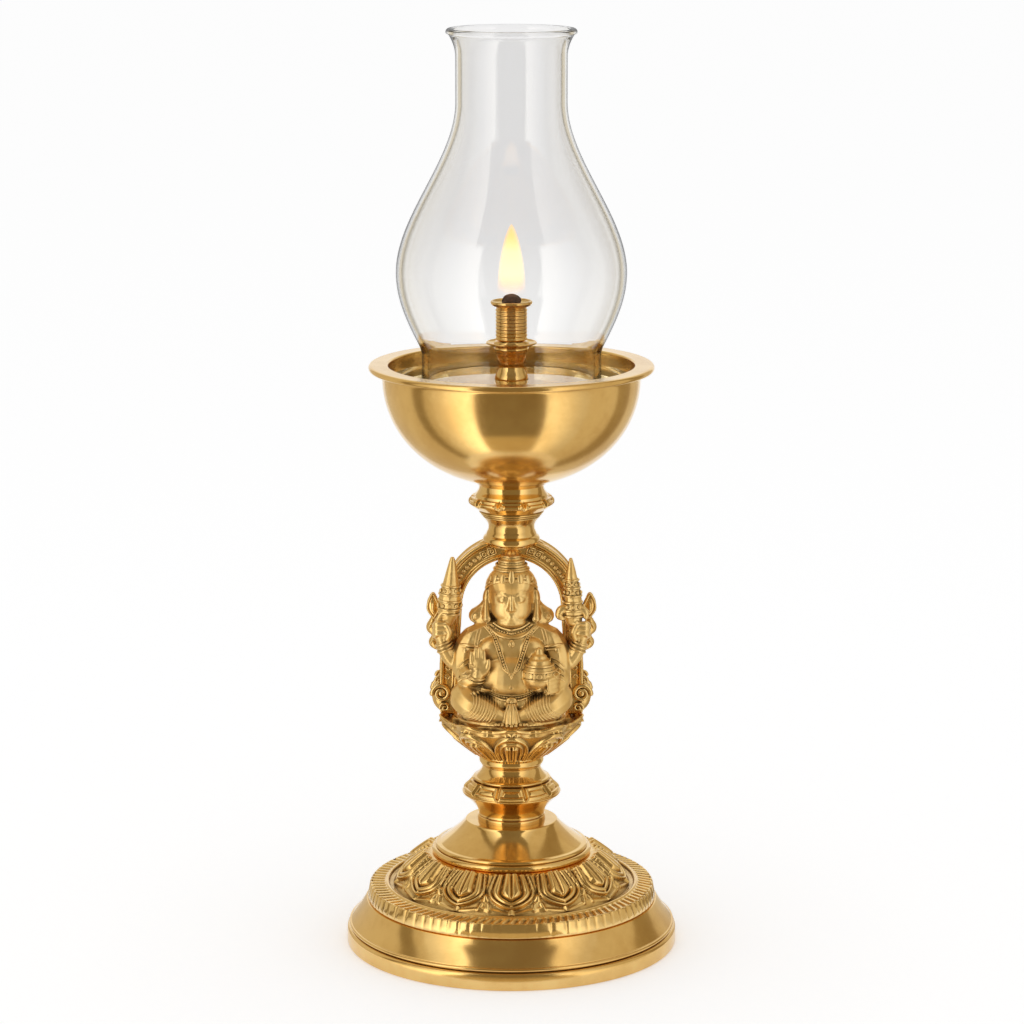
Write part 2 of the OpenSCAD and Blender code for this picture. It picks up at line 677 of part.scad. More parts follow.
module burner_pillar() {
    z_spool = z_head - spool_h;
    color(brass) difference() {
        turned(concat(
            [[0, z_pillar], [pillar_foot_r, z_pillar],
             [pillar_foot_r, z_pillar + pillar_foot_h - 0.6],
             [pillar_foot_r - 0.6, z_pillar + pillar_foot_h], [pillar_r, z_pillar + pillar_foot_h]],
            ogee(pillar_r, z_spool, waist_r, z_spool + 0.4 * spool_h, 6),
            ogee(waist_r, z_spool + 0.5 * spool_h, head_r - 0.2, z_head - 1.4, 6),
            [[head_r, z_head - 1.2], [head_r, z_head], [0, z_head]]));
        rod(stud_r + fit_gap, z_pillar - 1, z_pillar + stud_grip + loose_gap);
        rod(tube_bore_r, z_wick_bore, z_head + 1);
        rod(thread_bore_r, z_head - shank_l - loose_gap, z_head + 1);
        rod(bead_r + loose_gap, z_head - bead_room, z_head + 1);
        for (a = [45, 135]) rotate(a) translate([0, 0, z_inlet]) rotate([0, 90, 0])
            cylinder(r = inlet_r, h = 2 * pillar_r + 2, center = true);
    }
}

module drip_collar() {
    edge = 0.35;
    color(brass) difference() {
        turned(concat(
            [[0, z_head], [head_r - 0.2, z_head]],
            arc(drip_r - edge, z_head + 0.6 * drip_h, edge, -70, 90, 6),
            [[head_r + 0.4, z_grip - 0.5], [head_r - 0.1, z_grip - loose_gap], [0, z_grip - loose_gap]]));
        rod(neck_r + fit_gap, z_head - 1, z_grip + 1);
    }
}

module wick_tube() {
    pitch = grip_h / grip_ridges;
    ridges = [for (i = [0:grip_ridges - 1], p = arc(0, 0, 1, -90, 90, 6))
        [grip_r - grip_groove + grip_groove * p[0], z_grip + pitch * (i + 0.5 + 0.42 * p[1])]];
    color(brass) difference() {
        turned(concat(
            [[0, z_head - shank_l], [shank_r, z_head - shank_l], [shank_r, z_head - bead_room + loose_gap],
             [bead_r, z_head - bead_h], [bead_r, z_head - fit_gap], [neck_r, z_head - fit_gap],
             [neck_r, z_grip], [grip_r - grip_groove, z_grip]],
            ridges,
            [[grip_r - 0.2, z_mouth], [mouth_r - 0.4, z_mouth + 1.2], [mouth_r, z_mouth + 1.6],
             [mouth_r, z_mouth_top - 0.3], [mouth_r - 0.3, z_mouth_top], [dish_r, z_mouth_top],
             [tube_bore_r, dish_z], [0, dish_z]]));
        rod(tube_bore_r, z_head - shank_l - 1, z_mouth_top + 1);
    }
}

module wick() {
    dome_h = z_mouth_top + char_h - char_z;
    color("#e9e0cc") turned(concat(
        [[0, wick_end_z], [wick_r, wick_end_z], [wick_r, char_z], [char_r, char_z]],
        [for (i = [1:8]) [char_r * cos(90 * i / 8), char_z + dome_h * sin(90 * i / 8)]]));
}

// Outer radius of the chimney at a height above its foot
function chimney_out(h) =
    let (swell = h - chimney_foot_h, shoulder = swell - chimney_swell_h,
         neck = shoulder - chimney_shoulder_h, mouth = neck - chimney_neck_h)
    h <= chimney_foot_h ? chimney_r :
    shoulder <= 0 ? mix(chimney_r, belly_r, sin(90 * swell / chimney_swell_h)) :
    neck <= 0 ? mix(belly_r, chimney_neck_r, smooth(shoulder / chimney_shoulder_h)) :
    mouth <= 0 ? chimney_neck_r :
    mix(chimney_neck_r, lip_r - lip_t / 2, 1 - cos(90 * mouth / chimney_flare_h));

module chimney() {
    flare_top = z_flare_top - z_ledge;
    stops = concat(
        [0.6, chimney_foot_h],
        [for (i = [1:8]) chimney_foot_h + chimney_swell_h * i / 8],
        [for (i = [1:14]) chimney_foot_h + chimney_swell_h + chimney_shoulder_h * i / 14],
        [for (i = [0:5]) flare_top - chimney_flare_h * (1 - i / 5)]);
    last = len(stops) - 1;
    bead = lip_t / 2;
    color([0.85, 0.9, 0.92, 0.35]) turned(concat(
        [[chimney_r - glass_t + 0.3, z_ledge], [chimney_r - 0.3, z_ledge]],
        [for (h = stops) [chimney_out(h), z_ledge + h]],
        arc(lip_r - bead, z_flare_top + 0.6 * bead, bead, -40, 160, 10),
        [for (i = [0:last]) let (h = stops[last - i]) [chimney_out(h) - glass_t, z_ledge + h]]));
}

base_foot();
petal_dome();
foot_screws();
base_cone();
tie_rod();
tie_washer();
tie_nut();
lower_stem();
lotus_seat();
figure();
figure_pins();
arch();
arch_pins();
upper_stem();
bowl_stud();
oil_bowl();
pillar_seal();
burner_pillar();
drip_collar();
wick_tube();
wick();
chimney();
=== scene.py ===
import math

import bpy
from mathutils import Matrix, Vector


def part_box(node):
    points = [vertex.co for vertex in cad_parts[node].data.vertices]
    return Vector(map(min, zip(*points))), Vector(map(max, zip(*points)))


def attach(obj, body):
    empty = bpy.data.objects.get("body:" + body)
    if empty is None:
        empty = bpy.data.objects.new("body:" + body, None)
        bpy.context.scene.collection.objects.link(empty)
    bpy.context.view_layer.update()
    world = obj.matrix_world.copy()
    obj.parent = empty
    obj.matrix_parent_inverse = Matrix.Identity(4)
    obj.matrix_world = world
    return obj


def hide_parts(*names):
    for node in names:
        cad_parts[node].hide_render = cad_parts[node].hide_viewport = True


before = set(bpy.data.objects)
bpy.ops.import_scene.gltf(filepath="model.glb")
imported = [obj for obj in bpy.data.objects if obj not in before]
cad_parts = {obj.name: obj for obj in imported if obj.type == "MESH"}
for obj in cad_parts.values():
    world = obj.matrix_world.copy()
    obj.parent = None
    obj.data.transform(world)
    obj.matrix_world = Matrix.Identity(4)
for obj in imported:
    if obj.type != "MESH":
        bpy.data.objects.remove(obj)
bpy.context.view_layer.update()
bpy.context.scene.view_settings.view_transform = "Standard"

# Camera: a long lens a little above the bowl, pitched down at the lamp.
# It stands in front of the figure, which faces along -Y.
bpy.ops.object.select_all(action="DESELECT")
CAMERA_PLACE = (0.0002, -1.245, 0.418)
CAMERA_PITCH = 78.356
bpy.ops.object.camera_add(location=CAMERA_PLACE, rotation=(math.radians(CAMERA_PITCH), 0, 0))
camera = bpy.context.object
camera.data.lens = 123.05
camera.data.sensor_width = 36
bpy.context.scene.camera = camera


# Base foot: a hollow foot of turned brass, with a groove above its lower band and a side that tapers up.
# It is spun to shape, turned and polished, and its inner shelf carries the dome on four screws.
MM = 0.001
FULL_TURN = 2 * math.pi


def only(piece):
    """Leaves this piece alone selected."""
    bpy.ops.object.select_all(action="DESELECT")
    piece.select_set(True)
    bpy.context.view_layer.objects.active = piece


def span(node):
    """The heights of a CAD node's lower and upper end, in mm."""
    low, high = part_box(node)
    return low.z / MM, high.z / MM


def mix(start, end, share):
    return start + (end - start) * share


def sweep(start, end, hollow, steps=12):
    """Points of a curve between two (radius, height) places. It leaves the start upright where hollow is 1,
    meets the end upright where hollow is -1, and does both where hollow is 0."""
    points = []
    for step in range(steps + 1):
        share = step / steps
        turn = math.pi / 2 * share
        across = {1: 1 - math.cos(turn), -1: math.sin(turn), 0: (1 - math.cos(2 * turn)) / 2}[hollow]
        points.append((mix(start[0], end[0], across), mix(start[1], end[1], share)))
    return points


def roll(radius, height, size, start, end, steps=8):
    """Points of a rounded edge: an arc of this size, from one angle in degrees to another."""
    turns = [math.radians(mix(start, end, step / steps)) for step in range(steps + 1)]
    return [(radius + size * math.cos(turn), height + size * math.sin(turn)) for turn in turns]


def above(base, points):
    """These (radius, height) places with their heights counted from a base."""
    return [(radius, base + height) for radius, height in points]


def trace(name, outline):
    """A new piece that is one closed line through (radius, height) places in mm, drawn in the XZ plane."""
    bpy.ops.object.select_all(action="DESELECT")
    bpy.ops.mesh.primitive_plane_add(size=MM)
    piece = bpy.context.object
    piece.name = name
    bpy.ops.object.mode_set(mode="EDIT")
    bpy.ops.mesh.merge(type="CENTER")
    places = [Vector((radius * MM, 0, height * MM)) for radius, height in outline]
    bpy.ops.transform.translate(value=places[0])
    for here, there in zip(places, places[1:] + places[:1]):
        bpy.ops.mesh.extrude_vertices_move(TRANSFORM_OT_translate={"value": there - here})
    bpy.ops.mesh.select_all(action="SELECT")
    bpy.ops.mesh.remove_doubles(threshold=1e-7)
    bpy.ops.mesh.select_all(action="SELECT")
    return piece


def join(pieces):
    """Makes the pieces one, under the first one's name."""
    only(pieces[0])
    for piece in pieces:
        piece.select_set(True)
    bpy.ops.object.join()
    return bpy.context.object


def close_up(piece, sharp=38):
    """Merges seams, turns the faces outwards and smooths what isn't a sharp edge."""
    only(piece)
    bpy.ops.object.mode_set(mode="EDIT")
    bpy.ops.mesh.select_all(action="SELECT")
    bpy.ops.mesh.remove_doubles(threshold=2e-6)
    bpy.ops.mesh.normals_make_consistent(inside=False)
    bpy.ops.object.mode_set(mode="OBJECT")
    bpy.ops.object.shade_smooth_by_angle(angle=math.radians(sharp))
    return piece


def turned(name, outline, steps=144):
    """A piece turned on a lathe: the outline spun once round the lamp's axis."""
    piece = trace(name, outline)
    bpy.ops.mesh.spin(steps=steps, angle=FULL_TURN, center=(0, 0, 0), axis=(0, 0, 1))
    bpy.ops.object.mode_set(mode="OBJECT")
    return close_up(piece)


class Tone:
    """A shader socket. Arithmetic on it adds Math nodes."""

    def __init__(self, finish, socket):
        self.finish = finish
        self.socket = socket

    def other(self, name):
        return Tone(self.finish, self.socket.node.outputs[name])

    def maths(self, operation, first, second):
        return self.finish.node("Math", {"operation": operation}, {0: first, 1: second})

    def __add__(self, value):
        return self.maths("ADD", self, value)

    def __sub__(self, value):
        return self.maths("SUBTRACT", self, value)

    def __rsub__(self, value):
        return self.maths("SUBTRACT", value, self)

    def __mul__(self, value):
        return self.maths("MULTIPLY", self, value)

    def __pow__(self, value):
        return self.maths("POWER", self, value)

    __radd__ = __add__
    __rmul__ = __mul__


class Finish:
    """The nodes of one material, or of the world."""

    def __init__(self, owner):
        self.owner = owner
        owner.use_nodes = True
        owner.node_tree.nodes.clear()

    def node(self, kind, settings, sockets, out=0):
        tree = self.owner.node_tree
        node = tree.nodes.new("ShaderNode" + kind)
        for name, value in settings.items():
            if name == "stops":
                ramp = node.color_ramp
                for spare in range(len(value) - 2):
                    ramp.elements.new(0.5)
                for stop, (place, colour) in zip(ramp.elements, value):
                    stop.position = place
                    stop.color = (*colour, 1)
            else:
                setattr(node, name, value)
        for name, value in sockets.items():
            if isinstance(value, Tone):
                tree.links.new(value.socket, node.inputs[name])
            else:
                node.inputs[name].default_value = value
        return Tone(self, node.outputs[out]) if node.outputs else None

    def place(self):
        return self.node("TexCoord", {}, {}, "Object")

    def noise(self, place, scale, detail=2, rough=0.5):
        sockets = {"Vector": place, "Scale": scale, "Detail": detail, "Roughness": rough}
        return self.node("TexNoise", {}, sockets)

    def blend(self, share, first, second):
        first, second = [c if isinstance(c, Tone) else (*c, 1) for c in (first, second)]
        return self.node("Mix", {"data_type": "RGBA"}, {0: share, 6: first, 7: second}, 2)

    def remap(self, value, low, high, to_low=0, to_high=1):
        ends = {"From Min": low, "From Max": high, "To Min": to_low, "To Max": to_high}
        return self.node("MapRange", {"interpolation_type": "SMOOTHSTEP"}, {"Value": value, **ends})

    def hollows(self, reach):
        """1 deep in a recess and 0 on open ground; reach is in mm."""
        settings = {"samples": 10, "only_local": True}
        return 1 - self.node("AmbientOcclusion", settings, {"Distance": reach * MM}, "AO")

    def grain(self, strength, depth, height):
        """The normal of a skin with fine relief; its depth is in mm."""
        return self.node("Bump", {}, {"Strength": strength, "Distance": depth * MM, "Height": height})

    def seen(self):
        """1 for what the camera, a mirror or the glass shows, and 0 for light that falls on a surface."""
        path = self.node("LightPath", {}, {}, "Is Camera Ray")
        rays = path + path.other("Is Glossy Ray") + path.other("Is Transmission Ray")
        return self.node("Clamp", {}, {"Value": rays})

    def surface(self, shader):
        self.node("OutputMaterial", {}, {"Surface": shader})
        return self.owner

    def principled(self, sockets):
        return self.surface(self.node("BsdfPrincipled", {}, sockets))


def new_finish(name):
    return Finish(bpy.data.materials.new(name))


def turned_brass(name, roughness, gold=(0.84, 0.57, 0.22), streak=0.05):
    """Brass with fine lathe lines, faint handling marks, and brown tarnish where a cloth can't reach."""
    finish = new_finish(name)
    place = finish.place()
    x = finish.node("SeparateXYZ", {}, {0: place})
    y = x.other("Y")
    lathe_place = finish.node("CombineXYZ", {}, {"X": (x * x + y * y) ** 0.5, "Z": x.other("Z")})
    fine_lines = finish.noise(lathe_place, 2600, 2)
    broad_lines = finish.noise(lathe_place, 420, 3)
    marks = finish.noise(place, 52, 5, 0.62)
    dirt = finish.node("Attribute", {"attribute_name": "dirt"}, {}, "Fac")
    tarnish = finish.remap(finish.hollows(2.2) + dirt, 0.32, 0.85)
    deep_gold = tuple(part * depth for part, depth in zip(gold, (0.86, 0.8, 0.7)))
    colour = finish.blend(finish.remap(marks, 0.35, 0.7), gold, deep_gold)
    colour = finish.blend(tarnish * 0.7, colour, (0.2, 0.11, 0.03))
    gloss = marks * 0.09 + broad_lines * streak + tarnish * 0.25 + (roughness - 0.045 - streak / 2)
    lines = finish.grain(0.06, 0.05, fine_lines + broad_lines)
    sockets = {"Base Color": colour, "Metallic": 1, "Roughness": gloss, "Normal": lines}
    return finish.principled(sockets)


def paint(piece, material):
    piece.data.materials.clear()
    piece.data.materials.append(material)


def place_piece(piece, material, slot, body, *nodes):
    """Gives a piece its material, the body it moves with and the CAD nodes it stands for. The slot is not
    used.
    """
    paint(piece, material)
    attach(piece, body)
    if nodes:
        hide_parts(*nodes)


foot_bottom, foot_top = span("base_foot")
groove_height = foot_bottom + 6.5
SIDE_FOOT = 59.3
SIDE_TOP = 53.9
SIDE_HOLLOW = 0.35
SIDE_STEPS = 22
foot_outline = above(foot_bottom, [(58, 0), (60.3, 0)] + roll(60.4, 0.6, 0.6, -60, 0, 4))
foot_outline += above(foot_bottom, [(60.95, 5.1), (60.75, 5.7)])
foot_outline += above(groove_height, [(60.2, -0.4), (59.2, -0.1), (59.2, 0.15)])
foot_outline += above(groove_height, roll(59.55, 0.75, 0.65, -70, 80, 7))
foot_outline += above(groove_height, [(59.35, 1.45), (SIDE_FOOT, 1.6)])
for step in range(SIDE_STEPS + 1):
    share = step / SIDE_STEPS
    radius = mix(SIDE_FOOT, SIDE_TOP, share) - SIDE_HOLLOW * math.sin(math.pi * share)
    foot_outline.append((radius, mix(groove_height + 1.65, foot_top - 0.9, share)))
foot_outline += above(foot_top, [(53.75, -0.6), (53.2, -0.5), (44, -0.5), (44, -3), (50.4, -3), (53.6, -7)])
foot_outline += [(56.5, groove_height - 0.5)]
base_foot = turned("base_foot_turned", foot_outline, 192)
place_piece(base_foot, turned_brass("foot_brass", 0.15), "turned_brass", "lamp", "base_foot")


# Petal dome: a hollow brass casting, with a ring of lotus petals over a ribbed shelf and a reeded band.
# It is chased after casting, and polish reaches only its high places; the foot's screws hold it.
def carved(name, outline, repeats, relief, steps, pitch):
    """A turned piece with a pattern that repeats round it. One sector is spun from the outline, its points
    are moved by relief(across, radius, height), where across is -1 to 1 over the sector, and it is copied
    round. The relief also gives how much dirt settles at a spot, from 0 to 1."""
    fine = []
    for (r1, z1), (r2, z2) in zip(outline, outline[1:] + outline[:1]):
        cuts = max(1, math.ceil(math.hypot(r2 - r1, z2 - z1) / pitch(r1, z1)))
        fine += [(mix(r1, r2, cut / cuts), mix(z1, z2, cut / cuts)) for cut in range(cuts)]
    piece = trace(name, fine)
    sector = FULL_TURN / repeats
    bpy.ops.mesh.spin(steps=steps, angle=sector, center=(0, 0, 0), axis=(0, 0, 1))
    bpy.ops.object.mode_set(mode="OBJECT")
    dirt = piece.data.attributes.new("dirt", "FLOAT", "POINT")
    for point, settled in zip(piece.data.vertices, dirt.data):
        x, y, z = point.co / MM
        turn = abs(math.atan2(y, x))
        radius, height, settled.value = relief(2 * turn / sector - 1, math.hypot(x, y), z)
        turn -= sector / 2 + math.pi / 2
        point.co = Vector((radius * math.cos(turn), radius * math.sin(turn), height)) * MM
    sectors = [piece]
    for turn in range(1, repeats):
        copy = piece.copy()
        copy.data = piece.data.copy()
        copy.data.transform(Matrix.Rotation(turn * sector, 4, "Z"))
        bpy.context.collection.objects.link(copy)
        sectors.append(copy)
    return close_up(join(sectors), 60)


def fine_where(pitch, over, low, high=math.inf):
    """How far apart an outline's points lie, in mm: this pitch over a radius and between two heights,
    and wide elsewhere."""
    return lambda radius, height: pitch if radius > over and low < height < high else 9


def ease(value):
    """0 up to 0, 1 from 1 on, and smooth between."""
    value = min(1, max(0, value))
    return value * value * (3 - 2 * value)


def bump(value, centre, width):
    return math.exp(-((value - centre) / width) ** 2)


def ridge(value, start, end):
    """A rounded ridge between two places: 0 at both, 1 midway."""
    share = (value - start) / (end - start)
    return math.sqrt(math.sin(math.pi * share)) if 0 < share < 1 else 0


def inside_edge(width_at, place, across, step):
    """How far inside a petal's edge a spot lies, in mm. width_at gives its half-width at a place."""
    slope = (width_at(place + step) - width_at(place - step)) / (2 * step)
    return (width_at(place) - across) / math.hypot(1, slope)


def cast_brass(name, roughness=0.3, gold=(0.85, 0.58, 0.225), reach=2.4):
    """Cast brass: polished high places whose sharp edges are also lightened as a painted highlight, brown
    patina that lies in the hollows, and a faintly pitted skin.
    """
    finish = new_finish(name)
    place = finish.place()
    pits = finish.noise(place, 1300, 3, 0.6)
    cloud = finish.noise(place, 130, 5, 0.6)
    hollow = finish.hollows(reach) + (cloud - 0.5) * 0.2
    dirt = finish.node("Attribute", {"attribute_name": "dirt"}, {}, "Fac")
    patina = finish.remap(hollow + dirt * 0.4, 0.28, 0.76)
    # Sharp edges turn a paler gold and a little glossier: partly polish worn onto them, partly a painted
    # highlight.
    edge = finish.node("NewGeometry", {}, {}, "Pointiness")
    wear_and_painted_highlight = finish.remap(edge, 0.5, 0.56)
    deep_gold = tuple(part * depth for part, depth in zip(gold, (0.86, 0.79, 0.66)))
    colour = finish.blend(finish.remap(cloud, 0.3, 0.7), gold, deep_gold)
    colour = finish.blend(wear_and_painted_highlight * 0.55, colour, (0.9, 0.66, 0.3))
    colour = finish.blend(patina * 0.92, colour, (0.12, 0.062, 0.017))
    gloss = cloud * 0.14 + patina * 0.3 - wear_and_painted_highlight * 0.06 + (roughness - 0.07)
    skin = finish.grain(0.14, 0.06, pits)
    sockets = {"Base Color": colour, "Metallic": 1, "Roughness": gloss, "Normal": skin}
    return finish.principled(sockets)


DOME_PETALS = 13
RING_RIBS = 8
RING_INNER = 46.4
RING_DEPTH = 0.8
BAND_REEDS = 84
BAND_INNER = 51.9
REED_DEPTH = 0.75
SLOPE_FOOT = 43.6
SLOPE_TOP = 30
SLOPE_STEPS = 48
WIDEST = 0.52
dome_bottom, dome_top = span("petal_dome")
shelf_height = dome_bottom + 5.2
channel_height = shelf_height - 0.7
slope_length = math.hypot(SLOPE_FOOT - SLOPE_TOP, dome_top - channel_height)


def dome_petal_width(place):
    """Half the width of a dome petal at this distance up the slope: a round leaf that tapers to its tip."""
    along = place / slope_length
    sector_width = math.pi * mix(SLOPE_FOOT, SLOPE_TOP, along) / DOME_PETALS
    if along > WIDEST:
        return sector_width * (0.96 - 0.19 * ((along - WIDEST) / (1 - WIDEST)) ** 1.5)
    return sector_width * 0.96 * max(0, 1 - ((WIDEST - along) / 0.4) ** 2) ** 0.68


def dome_relief(across, radius, height):
    """Slanted ribs on the ring, and petals with nested rims round a bulb on the slope, with buds between."""
    side = abs(across)
    under_shelf = height < shelf_height - 0.4 and radius > 50
    if under_shelf or height < dome_bottom + 0.2 or radius < SLOPE_TOP - 0.5:
        return radius, height, 0
    if radius > RING_INNER:
        fade = ease((radius - 46.9) / 0.5) * ease((52 - radius) / 0.5)
        slant = math.cos(math.pi * RING_RIBS * (across + 0.03 * (radius - 49))) * 0.5 + 0.5
        depth = fade * (1 - slant) ** 1.5
        return radius, height - RING_DEPTH * depth, depth
    if radius > SLOPE_FOOT + 0.1:
        return radius, height, 0.3
    along = (SLOPE_FOOT - radius) / (SLOPE_FOOT - SLOPE_TOP)
    place = along * slope_length
    from_middle = side * math.pi * radius / DOME_PETALS
    from_gap = (1 - side) * math.pi * radius / DOME_PETALS
    inside = inside_edge(dome_petal_width, place, from_middle, 0.1)
    if along > WIDEST:
        inside *= dome_petal_width(WIDEST * slope_length) / dome_petal_width(place)
    floor = 0.6 * ease(inside / 0.3)
    rims = 1.05 * ridge(inside, 0, 1.35) + 1.05 * ridge(inside, 1.8, 4.3)
    bulb_place = inside - 4.7
    bulb = 1.9 * math.sqrt(ease(bulb_place / 1.6))
    bulb -= 0.95 * bump(from_middle, 0, 0.42) * ease(bulb_place / 0.6)
    leaf = 1.3 * bump(from_middle, 0, 0.75) * bump(along, 0.37, 0.045)
    nib = 1.2 * bump(from_middle, 0, 0.8) * ease(along / 0.04) * ease((0.24 - along) / 0.05)
    ledge = 0.5 * bump(along, 0.05 + 0.1 * side, 0.035)
    bud = 1.5 * bump(from_gap, 0, 1.15) * bump(along, 0.36, 0.085)
    feet = 0.8 * bump(from_gap, 0.8 + 7 * (0.28 - along), 0.75)
    feet *= ease((0.3 - along) / 0.05) * ease((along - 0.07) / 0.05)
    veins = 0.4 + ridge(from_gap, -0.7, 0.7) + ridge(from_gap, 1, 2.2)
    back_leaf = 0.5 * ease((along - 0.45) / 0.2) * veins
    petal = floor + rims + bulb if inside > 0 else back_leaf
    lift = max(petal, nib, ledge, bud, feet, leaf + 0.5 if leaf > 0.2 else 0)
    lift *= ease((1 - along) / 0.08)
    return radius + 0.66 * lift, height + 0.75 * lift, 0.6 - 0.6 * ease(lift / 1.1)


dome_outline = above(dome_bottom, [(52.4, -0.5), (53.1, -0.35), (53.3, 0.1)])
dome_outline += above(shelf_height, [(52.5, -0.9), (52.2, -0.4), (51.7, -0.1), (46.7, 0.25)])
dome_outline += above(shelf_height, roll(46, 0.1, 0.6, 40, 150, 6))
dome_outline += above(channel_height, [(45.2, 0.2), (44.9, 0), (SLOPE_FOOT + 0.1, 0)])
for step in range(SLOPE_STEPS + 1):
    along = step / SLOPE_STEPS
    swell = 0.9 * math.sin(math.pi * along)
    dome_outline.append((mix(SLOPE_FOOT, SLOPE_TOP, along) + 0.6 * swell,
                         mix(channel_height, dome_top, along) + 0.7 * swell))
dome_outline += above(dome_top, [(29.3, 0), (3.3, 0), (3.3, -3), (27, -3.2)])
dome_outline += above(dome_bottom, [(40, 1), (40, -0.5)])
petal_dome = carved("petal_dome_carved", dome_outline, DOME_PETALS, dome_relief, 50,
                    fine_where(0.34, SLOPE_TOP, dome_bottom + 1.2))

# The band's reeds are cut by hand: unevenly spaced all round, and worn smooth in front.
for point in petal_dome.data.vertices:
    x, y, z = point.co / MM
    if math.hypot(x, y) > BAND_INNER and dome_bottom < z < shelf_height:
        turn = math.atan2(x, -y)
        uneven = 1.1 * math.sin(5 * turn + 1) + 0.7 * math.sin(11 * turn)
        reed = abs(math.sin(BAND_REEDS * turn / 2 + uneven))
        depth = REED_DEPTH * (1 - 0.8 * bump(turn, 0, 0.4)) * (1 - reed) ** 3
        point.co *= 1 - depth / math.hypot(x, y) * ease((z - dome_bottom) / 0.7)
        point.co.z = z * MM
place_piece(petal_dome, cast_brass("dome_brass", 0.2, reach=3.2), "cast_brass", "lamp", "petal_dome")


# Foot screws, tie rod, washer and nut: the zinc-plated steel that holds the lower lamp together.
# They are bought parts, out of sight under the dome and inside the stem.
def zinc_steel(name):
    finish = new_finish(name)
    place = finish.place()
    spangle = finish.node("TexVoronoi", {}, {"Vector": place, "Scale": 900})
    cloud = finish.noise(place, 240, 4)
    colour = finish.blend(cloud, (0.52, 0.53, 0.55), (0.66, 0.66, 0.64))
    skin = finish.grain(0.1, 0.03, spangle)
    sockets = {"Base Color": colour, "Metallic": 1, "Roughness": cloud * 0.2 + 0.2, "Normal": skin}
    return finish.principled(sockets)


steel = zinc_steel("zinc_steel")
for node in ("foot_screws", "tie_rod", "tie_washer", "tie_nut"):
    paint(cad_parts[node], steel)


# Base cone: a turned brass cone with a double ring at its foot and a collar on top.
# It stands on the dome and is drawn down by the tie rod.
cone_bottom, cone_top = span("base_cone")
CONE_STEPS = 24
cone_sides = []
for step in range(CONE_STEPS + 1):
    share = step / CONE_STEPS
    across = 0.3 * math.sin(math.pi / 2 * share) + 0.7 * share
    cone_sides.append((mix(26.6, 17.2, across), mix(4, 12, share)))
cone_rings = roll(28, 1.35, 1.35, -75, 62, 10) + roll(27.2, 3.15, 0.85, -48, 80, 8)
cone_shoulder = roll(16.4, 12, 0.7, 20, 92, 8) + [(12.5, 12.75)]
cone_outline = above(cone_bottom, [(3.3, 0), (28, 0)] + cone_rings + cone_sides + cone_shoulder)
cone_outline += above(cone_top, [(12.45, -0.25), (12.2, 0), (3.3, 0)])
base_cone = turned("base_cone_turned", cone_outline)
place_piece(base_cone, turned_brass("cone_brass", 0.12), "turned_brass", "lamp", "base_cone")


# Lower stem: a turned brass baluster with ten chased panels on the shoulder over its lip and a ringed neck.
# It stands on the cone's collar, over the tie rod.
STEM_PANELS = 10
PANEL_SHARE = 0.86


def panel_relief(foot, head, wide):
    """The relief of a ring of raised panels between two heights; wide is a panel's share of its sector."""

    def relief(across, radius, height):
        if not foot - 0.8 < height < head + 0.8 or radius < 9:
            return radius, height, 0.5 * bump(height, foot - 5.5, 4)
        to_side = (wide - abs(across)) * math.pi * radius / STEM_PANELS
        inside = min(to_side, 1.3 * (height - foot), 1.3 * (head - height))
        lift = 0.55 * ease((inside + 0.35) / 0.5) + 0.3 * bump(inside, 0.4, 0.32)
        lift -= 0.32 * bump(inside, 1.05, 0.32) + 0.35 * bump(inside, -0.5, 0.35)
        return radius + 0.75 * (lift - 0.3), height + 0.6 * (lift - 0.3), 0

    return relief


stem_bottom, stem_top = span("lower_stem")
lip_height = stem_bottom + 8.9
stem_outline = above(stem_bottom, [(3.3, 0), (11.9, 0), (12.15, 0.25)])
stem_outline += sweep((12.1, stem_bottom + 0.4), (17.3, lip_height - 1), 1, 16)
stem_outline += above(lip_height, roll(17.1, 0, 1, -55, 52, 10) + [(16.95, 1.25)])
stem_outline += above(stem_bottom, [(13.9, 13.5)] + roll(13.65, 14, 0.55, -40, 75, 6))
stem_outline += sweep((13.2, stem_bottom + 14.7), (10.75, stem_top - 4.6), -1, 12)
stem_outline += above(stem_top, [(10.75, -4.2), (11.1, -3.9)] + roll(9.9, -2.1, 2, -56, 40, 10))
stem_outline += above(stem_top, [(11.2, -0.5), (11.4, 0), (3.3, 0)])
lower_stem = carved("lower_stem_chased", stem_outline, STEM_PANELS,
                    panel_relief(lip_height + 0.9, stem_bottom + 13.1, PANEL_SHARE), 40,
                    fine_where(0.3, 10, lip_height - 0.6, stem_bottom + 13.6))
place_piece(lower_stem, turned_brass("stem_brass", 0.13), "turned_brass", "lamp", "lower_stem")


# Lotus seat: a brass casting of nine open petals with cupped tips, which the figure and the arch stand on.
# The petals are chased with nested rims, and the tie rod screws into it from below.
LOTUS_PETALS = 9
LOTUS_FOOT = 12.2
LOTUS_RIM = 27.4
LOTUS_HALF_WIDTH = 6.3
LOTUS_STEPS = 40
lotus_bottom, lotus_top = span("lotus_seat")
lotus_height = lotus_top - lotus_bottom


def lotus_radius(share):
    """The seat's radius at this share of its height."""
    return mix(LOTUS_FOOT, LOTUS_RIM, 0.42 * math.sin(math.pi / 2 * share) + 0.58 * share)


def lotus_inside(share, from_middle):
    """How far inside a petal's edge a spot lies, in mm as seen from the side. The edge is round above, and
    the petal's lines draw together below."""
    half_width = min(LOTUS_HALF_WIDTH, 0.985 * math.pi * lotus_radius(share) / LOTUS_PETALS)
    across = max(0.001, from_middle / half_width)
    rise = max(0, (share - 0.46) / 0.37)
    out = math.hypot(across, rise)
    return (1 - out) * (LOTUS_HALF_WIDTH * across ** 2 + 4.2 * rise ** 2) / out ** 2


